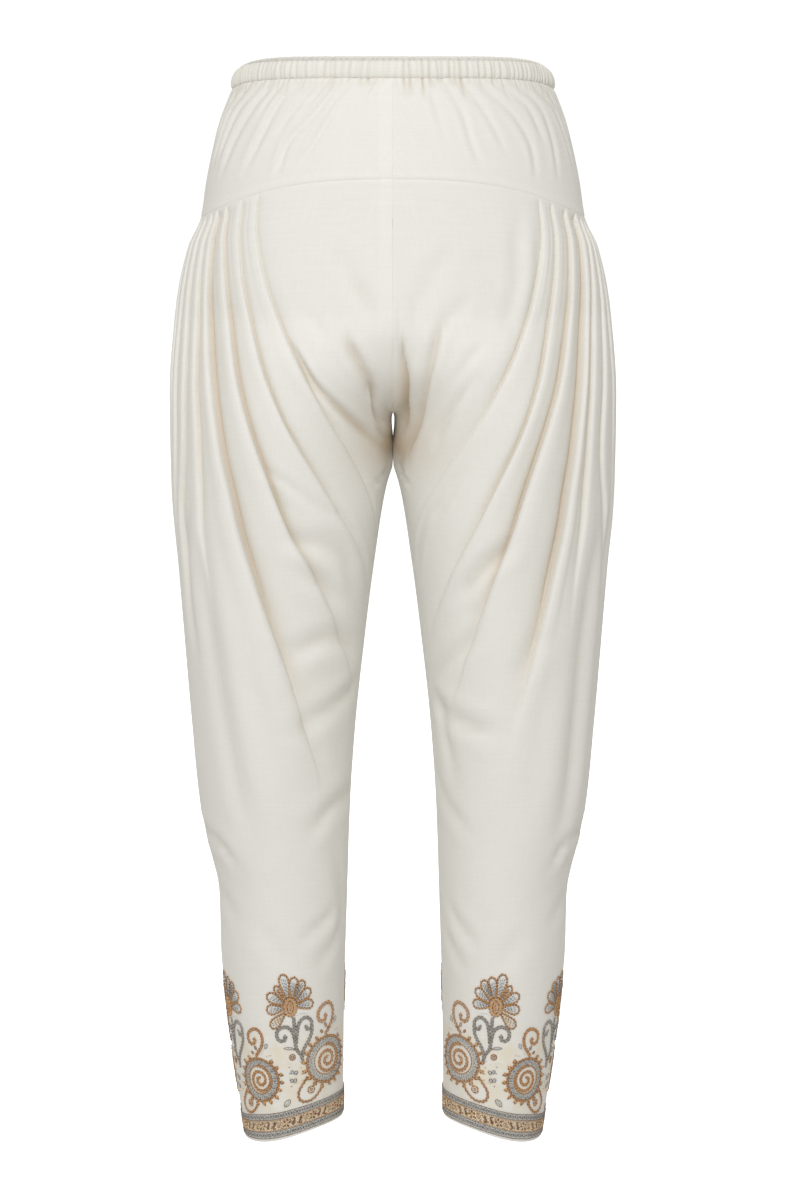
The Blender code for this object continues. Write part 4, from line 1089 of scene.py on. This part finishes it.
def work_disc(needle):
    """A spiral disc inside silver and gold rings, with beads along its edge, a curled tail and a loop."""
    turns = np.linspace(0.35 * math.pi, 4.55 * math.pi, 120)
    radii = 1.5 + 11.2 * (turns - turns[0]) / (turns[-1] - turns[0])
    spiral = [(r * math.cos(t), 1.02 * r * math.sin(t)) for t, r in zip(turns, radii)]
    needle.rope(spiral, ("gold",), ("brown",), 2.8)
    needle.ring(0.0, 0.0, 12.8, ("gold",), pitch=1.2, width=1.4, lift=0.2)
    needle.ring(0.0, 0.0, 13.4, ("ink",), pitch=2.6, length=1.8, width=1.05, slant=0.0, lift=0.7)
    for i, radius in enumerate((14.6, 15.9, 17.2)):
        needle.ring(0.0, 0.0, radius, ("silver",), pitch=1.8, length=2.3, width=1.4, slant=0.25 - 0.25 * i)
    for radius, twist in ((14.8, 0.6), (15.9, 0.0), (16.9, -0.6)):
        needle.ring(
            0.0, 0.0, radius, ("ink", "slate", "slate"), pitch=2.3, length=1.7, width=1.0, slant=twist, lift=0.5,
        )
    needle.ring(0.0, 0.0, 18.2, ("ink", "slate"), pitch=2.3, length=1.8, width=1.1, slant=0.1, lift=0.8)
    turns = np.linspace(0.0, 2.0 * math.pi, 40)
    needle.rope([(19.5 * math.cos(t), 19.5 * math.sin(t)) for t in turns], ("gold",), ("brown",), 2.3)
    for k in range(16):
        angle = math.radians(118.0 + 292.0 * k / 15.0)
        out = 22.2 + 0.6 * math.sin(k * 2.1)
        tip = angle + 0.5 * math.cos(k * 1.7)
        x, y = out * math.cos(angle), out * math.sin(angle)
        needle.stitch(x, y, tip, 5.6, 4.3, "gold", 0.1)
        needle.stitch(x + 1.1, y - 0.9, tip + 0.2, 2.6, 1.3, "brown", 0.6)
        needle.stitch(x - 1.3, y + 0.8, tip - 0.3, 1.9, 1.3, "ink" if k % 3 == 0 else "brown", 0.6)
    needle.rope(smooth_path(TAIL), ("gold",), ("brown",), 3.1)
    needle.leaf(-1.4, 29.0, 2.1, 4.0, 2.4, ("brown",), ("gold",))
    needle.leaf(1.6, 26.2, 0.6, 3.4, 2.0, ("brown",), ("gold",))
    needle.leaf(-5.6, 24.4, 2.4, 3.2, 2.0, ("brown",), ("gold",))
    needle.leaf(10.4, 31.4, 1.0, 5.6, 3.0, ("slate",), ("silver",))
    needle.run([(8.6, 28.9), (6.4, 26.2), (4.2, 22.8)], ("silver",), pitch=1.3, width=0.6)
    needle.run([(8.5, 22.0), (15.0, 22.8)], ("gold",), pitch=2.4, width=0.7)
    needle.rope(smooth_path(LOOP), ("gold",), ("brown",), 2.2)
    needle.ring(-16.2, -22.4, 2.8, ("gold", "gold", "brown"), pitch=1.2, length=1.9, width=1.7)
    needle.ring(-16.2, -22.4, 1.0, ("brown", "gold"), pitch=1.0, length=1.4, width=1.2)
    for k in range(4):
        needle.stitch(-20.0 + 1.9 * k, -14.5 - 1.0 * (k % 2), 0.6, 1.6, 0.6, "cream")


def work_border(needle, round_leg):
    """Rows right round the hem, y from the border's foot: grey herringbone, a gold band of scrolls, herringbone."""
    for y, threads, width in (
        (23.0, ("ink", "brown"), 1.05), (17.5, ("ink", "brown"), 0.95), (6.4, ("ink", "brown"), 0.95),
        (0.6, ("ink", "brown"), 1.1), (16.3, ("gold",), 1.0), (7.6, ("gold",), 1.0),
    ):
        for k in range(int(round_leg / 1.7)):
            needle.stitch(k * 1.7, y, 0.0, 2.0, width, threads[k % len(threads)], 0.5)
    for y in (20.2, 3.5):
        for row in (-1, 0, 1):
            for k in range(int(round_leg / 2.6)):
                needle.stitch(k * 2.6 + row, y + 1.4 * row, 0.0, 3.0, 1.6, ("silver", "slate")[(k + row) % 2])
        for k in range(int(round_leg / 2.6)):
            needle.stitch(k * 2.6, y, 0.95 if k % 2 else -0.95, 4.6, 0.95, "ink", 0.5)
    for row in range(6):
        for k in range(int(round_leg / 2.6)):
            needle.stitch(
                (k + 0.5 * (row % 2)) * 2.6, 8.0 + 1.6 * row, 0.0, 3.0, 1.7,
                "gold" if (k + 2 * row) % 9 == 0 else "cream",
            )
    x, figure = 4.0, 0
    while x < round_leg - 4.0:
        turned = -1.0 if figure % 4 == 1 else 1.0
        if figure % 4 == 3:
            needle.stitch(x, 12.0, 0.8, 2.4, 2.2, "amber", 0.6)
            for k in range(5):
                angle = 1.3 + 1.2566 * k
                needle.stitch(x + 2.6 * math.cos(angle), 12.0 + 2.8 * math.sin(angle), angle, 3.0, 2.4, "brown", 0.6)
        elif figure % 4 == 2:
            needle.leaf(x, 12.0, 0.95, 6.8, 3.8, ("brown",), ("brown", "gold"))
        else:
            for across, up, heading, length, width in (
                (-0.8, -1.5, 1.1, 4.4, 3.6), (0.2, 0.5, 1.0, 3.0, 2.4), (1.1, 1.9, 1.3, 2.6, 1.9),
                (0.6, 3.1, 2.7, 2.4, 1.6), (-0.8, 3.2, 3.4, 1.8, 1.4),
            ):
                needle.stitch(x + turned * across, 12.0 + turned * up, heading, length, width, "brown", 0.6)
        needle.stitch(x + 3.3, 9.6 + 4.8 * (figure % 2), 0.4, 1.9, 1.6, "brown", 0.6)
        x += (6.2, 6.4, 6.8, 7.0)[figure % 4] + needle.dice.uniform(-0.3, 0.3)
        figure += 1


def figure_places(figures):
    """Turn and drop of the figures' stitches, each stepped from its own origin: round by x and up by y."""
    middle, drop = np.radians(figures[:, 0]), figures[:, 1] - figures[:, 3] * 1.07
    scale = np.where(middle >= 0.0, CUTS["front"].per_radian(drop), CUTS["back"].per_radian(drop))
    return middle + figures[:, 2] / scale, drop


def border_places(border, hem_round):
    """Turn and drop of the border's stitches: x runs right round from the side, where the border is narrower."""
    turn = (border[:, 2] / hem_round * 2.0 * math.pi + math.pi) % (2.0 * math.pi) - math.pi
    rise = BORDER_FOOT + (0.88 + 0.14 * ease(np.abs(turn), 0.2, 1.0)) * border[:, 3]
    return turn, HEM - rise / (0.857 + 0.143 * (0.5 + 0.5 * np.cos(turn)))


def leg_stitches(hand):
    """Turn and drop of every stitch of one leg, and its own numbers from its heading on."""
    needle = Needle(21 if hand == "left" else 34)
    for work, origins in ((work_flower, FLOWERS), (work_disc, DISCS)):
        for origin in origins:
            needle.start(origin)
            work(needle)
    figures = needle.take_rows()
    hem_round = float(sum(cut.at("length", BORDER_DROP) for cut in CUTS.values()))
    needle.start(Spot(0.0, 0.0, 1.0))
    work_border(needle, hem_round)
    border = needle.take_rows()
    turn, drop = np.concatenate([figure_places(figures), border_places(border, hem_round)], axis=1)
    turn = (turn + math.pi) % (2.0 * math.pi) - math.pi
    return turn, drop, np.concatenate([figures[:, 4:], border[:, 4:]])


def on_leg(panel, turn, drop):
    """Points on the outside of a leg panel's cloth, between its pleats."""
    face, hand = panel.split("_")
    cut = CUTS[face]
    turn = np.clip(turn, 0.004, math.pi - 0.004)
    dip = leg_dip(panel, turn * cut.per_radian(drop), drop, cut)
    spots = cut.spot(turn, drop, dip - 0.5 * CLOTH_WALL - 0.14)
    return spots * (1.0 if hand == "left" else -1.0, 1.0, 1.0)


def unit(rows):
    return rows / np.linalg.norm(rows, axis=1)[:, None]


def stitch_corners(panel, turn, drop, stitches, knot):
    """Corners of every stitch: the knot's corners, stretched along the thread and laid on the cloth."""
    heading, length, width, _, _, lift = stitches.T
    face, hand = panel.split("_")
    step = (1.0 if face == "front" else -1.0) / CUTS[face].per_radian(drop)
    round_way = unit(on_leg(panel, turn + step, drop) - on_leg(panel, turn - step, drop))
    up_way = on_leg(panel, turn, drop - 1.0) - on_leg(panel, turn, drop + 1.0)
    up_way = unit(up_way - (up_way * round_way).sum(axis=1)[:, None] * round_way)
    outward = np.cross(round_way, up_way) * (-1.0 if hand == "left" else 1.0)
    along = np.cos(heading)[:, None] * round_way + np.sin(heading)[:, None] * up_way
    across = np.cross(outward, along)
    thick = np.minimum(0.42 * width, 0.45)
    middle = on_leg(panel, turn, drop) + outward * (0.12 + 0.5 * thick + 0.6 * lift)[:, None]
    sizes = np.stack([0.5 * width, thick, 0.5 * length], axis=1)
    return middle[:, None, :] + knot @ (np.stack([across, outward, along], axis=1) * sizes[:, :, None])


def embroidery(hand, threads):
    """All the stitches of one leg, in a front and a back piece."""
    turn, drop, stitches = leg_stitches(hand)
    shape = bmesh.new()
    bmesh.ops.create_uvsphere(shape, u_segments=4, v_segments=2, radius=1.0)
    knot_mesh = bpy.data.meshes.new("knot")
    shape.to_mesh(knot_mesh)
    shape.free()
    knot = np.array([vertex.co[:] for vertex in knot_mesh.vertices])
    pieces = {}
    for face in CUTS:
        panel = face + "_" + hand
        mine = turn >= 0.0 if face == "front" else turn < 0.0
        own = stitches[mine]
        stack = bmesh.new()
        for _ in own:
            stack.from_mesh(knot_mesh)
        piece = new_piece("hem_embroidery_" + panel, stack, threads)
        mesh = piece.data
        spots = stitch_corners(panel, np.abs(turn[mine]), drop[mine], own, knot)
        mesh.vertices.foreach_set("co", (spots * MM).astype(np.float32).ravel())
        faces = len(mesh.polygons) // len(own)
        mesh.polygons.foreach_set("material_index", np.repeat(own[:, 3].astype(np.int32), faces))
        lay_mark(mesh, "shade", np.repeat(own[:, 4], len(knot)))
        mesh.update()
        pieces[panel] = piece
    bpy.data.meshes.remove(knot_mesh)
    return pieces


class Nodes:
    """Short hand for building a material out of nodes."""

    def __init__(self, name):
        self.material = bpy.data.materials.new(name)
        self.material.use_nodes = True
        self.tree = self.material.node_tree
        self.shader = self.tree.nodes["Principled BSDF"]

    def add(self, kind, inputs=(), **settings):
        node = self.tree.nodes.new(kind)
        for key, value in settings.items():
            setattr(node, key, value)
        for socket, value in dict(inputs).items():
            self.give(node.inputs[socket], value)
        return node

    def give(self, socket, value):
        if isinstance(value, bpy.types.NodeSocket):
            self.tree.links.new(value, socket)
        else:
            socket.default_value = value

    def maths(self, operation, a, b=0.0, c=0.0):
        return self.add("ShaderNodeMath", {0: a, 1: b, 2: c}, operation=operation).outputs[0]

    def blend(self, share, a, b, kind="MIX"):
        node = self.add("ShaderNodeMix", {0: share}, data_type="RGBA", blend_type=kind)
        self.give(node.inputs[6], a)
        self.give(node.inputs[7], b)
        return node.outputs[2]

    def noise(self, where, scale, detail=2.0, roughness=0.5):
        node = self.add(
            "ShaderNodeTexNoise", {"Vector": where, "Scale": scale, "Detail": detail, "Roughness": roughness}
        )
        return node.outputs["Fac"]

    def stretch(self, where, scale):
        return self.add("ShaderNodeMapping", {"Vector": where, "Scale": scale}).outputs[0]

    def level(self, value, low, high, bottom=0.0, top=1.0):
        return self.add(
            "ShaderNodeMapRange", {"Value": value, 1: low, 2: high, 3: bottom, 4: top}, interpolation_type="SMOOTHSTEP"
        ).outputs[0]

    def mark(self, name):
        return self.add("ShaderNodeAttribute", attribute_name=name).outputs["Fac"]

    def bump(self, height, strength, relief):
        node = self.add("ShaderNodeBump", {"Height": height, "Strength": strength, "Distance": relief})
        self.give(self.shader.inputs["Normal"], node.outputs[0])


# The colours of cloth pressed over a seam allowance and of cloth fuzzy with thread ends around the embroidery, and
# the spacing of the weave's threads in metres.
PRESSED_COLOUR = (0.93, 0.915, 0.87, 1.0)
WORKED_COLOUR = (0.82, 0.765, 0.64, 1.0)
WEAVE = 0.00055


def cotton(name, light, shade, relief=0.00012):
    """Plain-woven cotton: crossing threads, slubs along warp and weft, warm shade in the folds."""
    n = Nodes(name)
    cloth = n.add("ShaderNodeUVMap", uv_map="cloth_uv").outputs[0]
    waves = {"Vector": cloth, "Scale": 0.314 / WEAVE, "Distortion": 0.6, "Detail": 1.0}
    warp, weft = (
        n.add("ShaderNodeTexWave", waves, wave_type="BANDS", bands_direction=way).outputs["Fac"] for way in "XY"
    )
    warp_slub = n.noise(n.stretch(cloth, (620.0, 42.0, 1.0)), 1.0, 3.0, 0.6)
    weft_slub = n.noise(n.stretch(cloth, (38.0, 560.0, 1.0)), 1.0, 3.0, 0.6)
    slub = n.maths("ADD", warp_slub, weft_slub)
    cloud = n.noise(n.stretch(cloth, (9.0, 7.0, 1.0)), 1.0, 3.0, 0.55)
    spread = n.level(n.noise(n.stretch(cloth, (55.0, 48.0, 1.0)), 1.0, 2.0), 0.35, 0.68)
    tone = n.maths("MULTIPLY_ADD", cloud, 0.03, n.maths("MULTIPLY_ADD", slub, 0.075, 0.91))
    grey = n.add("ShaderNodeCombineColor", {0: tone, 1: tone, 2: tone}).outputs[0]
    # Painted shade: the cloth's colour is mixed towards the darker shade colour where the painted shade mark is high.
    colour = n.blend(n.maths("MULTIPLY", n.mark("painted_shade"), 0.85), (*light, 1.0), (*shade, 1.0))
    colour = n.blend(n.maths("MULTIPLY", n.mark("pressed"), 0.22), colour, PRESSED_COLOUR)
    colour = n.blend(n.maths("MULTIPLY", n.mark("worked"), spread), colour, WORKED_COLOUR)
    n.give(n.shader.inputs["Base Color"], n.blend(1.0, colour, grey, "MULTIPLY"))
    n.give(n.shader.inputs["Roughness"], n.level(cloud, 0.3, 0.7, 0.78, 0.92))
    n.shader.inputs["Specular IOR Level"].default_value = 0.25
    n.shader.inputs["Sheen Weight"].default_value = 0.12
    n.shader.inputs["Sheen Roughness"].default_value = 0.5
    n.bump(n.maths("MULTIPLY_ADD", n.maths("MULTIPLY", warp, weft), 0.5, n.maths("MULTIPLY", slub, 0.35)), 0.5, relief)
    return n.material


def thread(name, colour, dark):
    """Embroidery floss: each stitch its own shade, with a soft gloss along it."""
    n = Nodes(name)
    fine = n.noise(n.add("ShaderNodeTexCoord").outputs["Object"], 1900.0, 1.0)
    mix = n.maths("MULTIPLY_ADD", fine, 0.4, n.maths("MULTIPLY", n.mark("shade"), 0.75))
    n.give(n.shader.inputs["Base Color"], n.blend(mix, (*dark, 1.0), (*colour, 1.0)))
    n.give(n.shader.inputs["Roughness"], n.level(fine, 0.3, 0.7, 0.45, 0.65))
    n.shader.inputs["Sheen Weight"].default_value = 0.2
    n.bump(fine, 0.3, 0.0001)
    return n.material


# The camera's lens, place and downward tilt in degrees.
LENS = 120.27
SENSOR = 36.0
CAMERA_PLACE = (0.0063, -3.6, 0.0)
CAMERA_TILT = 7.666

# The room: how strongly it lights the cloth and how bright it looks, its warm tint, and the floor's height.
ROOM_LIGHT = 0.53
ROOM_BRIGHTNESS = 1.06
ROOM_TINT = (1.0, 0.972, 0.915, 1.0)
WHITE = (1.0, 1.0, 1.0, 1.0)
FLOOR_HEIGHT = -1.16

# Lamps aim at the middle of the garment.
LAMP_AIM = Vector((0.0, 0.0, -0.4))


def pale_floor():
    n = Nodes("pale floor")
    grain = n.noise(n.add("ShaderNodeTexCoord").outputs["Object"], 6.0, 3.0)
    n.give(n.shader.inputs["Base Color"], n.blend(grain, (0.90, 0.90, 0.90, 1.0), (0.93, 0.93, 0.93, 1.0)))
    for socket, value in (
        ("Roughness", 0.9), ("Specular IOR Level", 0.1), ("Emission Color", WHITE), ("Emission Strength", 0.75),
    ):
        n.shader.inputs[socket].default_value = value
    shape = bmesh.new()
    bmesh.ops.create_grid(shape, x_segments=2, y_segments=2, size=14.0)
    bmesh.ops.translate(shape, verts=shape.verts[:], vec=(0.0, 0.0, FLOOR_HEIGHT))
    floor = new_piece("studio_floor", shape, [n.material])
    floor.visible_diffuse = False


def pale_room():
    """A white surround that lights the cloth softly with a slightly warm tint."""
    world = bpy.data.worlds.new("pale room")
    bpy.context.scene.world = world
    world.use_nodes = True
    nodes, links = world.node_tree.nodes, world.node_tree.links
    sky = nodes["Background"]
    seen = nodes.new("ShaderNodeLightPath").outputs["Is Camera Ray"]
    strength = nodes.new("ShaderNodeMapRange")
    strength.inputs["To Min"].default_value = ROOM_LIGHT
    strength.inputs["To Max"].default_value = ROOM_BRIGHTNESS
    tint = nodes.new("ShaderNodeMix")
    tint.data_type = "RGBA"
    tint.inputs[6].default_value = ROOM_TINT
    tint.inputs[7].default_value = WHITE
    links.new(seen, tint.inputs[0])
    links.new(seen, strength.inputs["Value"])
    links.new(tint.outputs[2], sky.inputs["Color"])
    links.new(strength.outputs["Result"], sky.inputs["Strength"])


def softbox(name, place, size, power, colour=(1.0, 1.0, 1.0)):
    light = bpy.data.lights.new(name, "AREA")
    light.shape = "RECTANGLE"
    light.size = light.size_y = size
    light.energy = power
    light.color = colour
    holder = bpy.data.objects.new(name, light)
    holder.location = place
    holder.rotation_euler = (LAMP_AIM - Vector(place)).to_track_quat("-Z", "Y").to_euler()
    bpy.context.scene.collection.objects.link(holder)


def studio():
    """A pale floor in a pale room, with a large soft light in front and one behind."""
    pale_floor()
    pale_room()
    softbox("rear softbox", (0.4, 4.1, 1.9), 2.0, 84.0)
    softbox("front softbox", (-0.45, -4.2, 1.95), 1.5, 112.0, (0.985, 0.99, 1.0))
    bpy.context.scene.view_settings.view_transform = "Standard"


def camera():
    lens = bpy.data.cameras.new("camera")
    lens.lens = LENS
    lens.sensor_width = SENSOR
    lens.clip_end = 60.0
    holder = bpy.data.objects.new("camera", lens)
    holder.location = CAMERA_PLACE
    holder.rotation_euler = (math.radians(90.0 - CAMERA_TILT), 0.0, 0.0)
    bpy.context.scene.collection.objects.link(holder)
    bpy.context.scene.camera = holder


def screen_colour(red, green, blue):
    """A colour as it looks on screen, as the shader wants it."""
    return tuple((c / 255.0) ** 2.2 for c in (red, green, blue))


# Each thread's colour at its lightest and at its darkest, as they look on screen.
Floss = namedtuple("Floss", "light dark")
FLOSSES = {
    "gold": Floss((222, 170, 112), (168, 118, 70)),
    "brown": Floss((144, 96, 54), (84, 56, 34)),
    "silver": Floss((230, 233, 235), (192, 196, 199)),
    "slate": Floss((190, 184, 176), (136, 129, 122)),
    "cream": Floss((255, 236, 198), (243, 212, 164)),
    "ink": Floss((92, 80, 70), (50, 43, 38)),
    "amber": Floss((238, 188, 124), (206, 150, 92)),
}


def place_piece(piece, node):
    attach(piece, "root")
    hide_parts(node)


def dress():
    """Makes every piece of the trousers over its plain node."""
    # Each cotton's second colour is the warm painted shade mixed into its folds, creases, puckers and pinches.
    ivory = cotton("ivory cotton", (0.835, 0.825, 0.785), (0.56, 0.45, 0.31))
    casing = cotton("ruched ivory cotton", (0.835, 0.825, 0.78), (0.60, 0.53, 0.43), relief=0.00014)
    threads = [
        thread(name + " thread", screen_colour(*FLOSSES[name].light), screen_colour(*FLOSSES[name].dark))
        for name in THREADS
    ]
    band = waistband(casing)
    place_piece(band, "waistband")
    stitching = embroidery("right", threads) | embroidery("left", threads)
    for panel in FOLDS:
        leg = leg_panel(panel, ivory)
        place_piece(leg, "leg_" + panel)
        place_piece(stitching[panel], "leg_" + panel)
        yoke = yoke_panel(panel, ivory)
        place_piece(yoke, "yoke_" + panel)


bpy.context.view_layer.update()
camera()
studio()
dress()
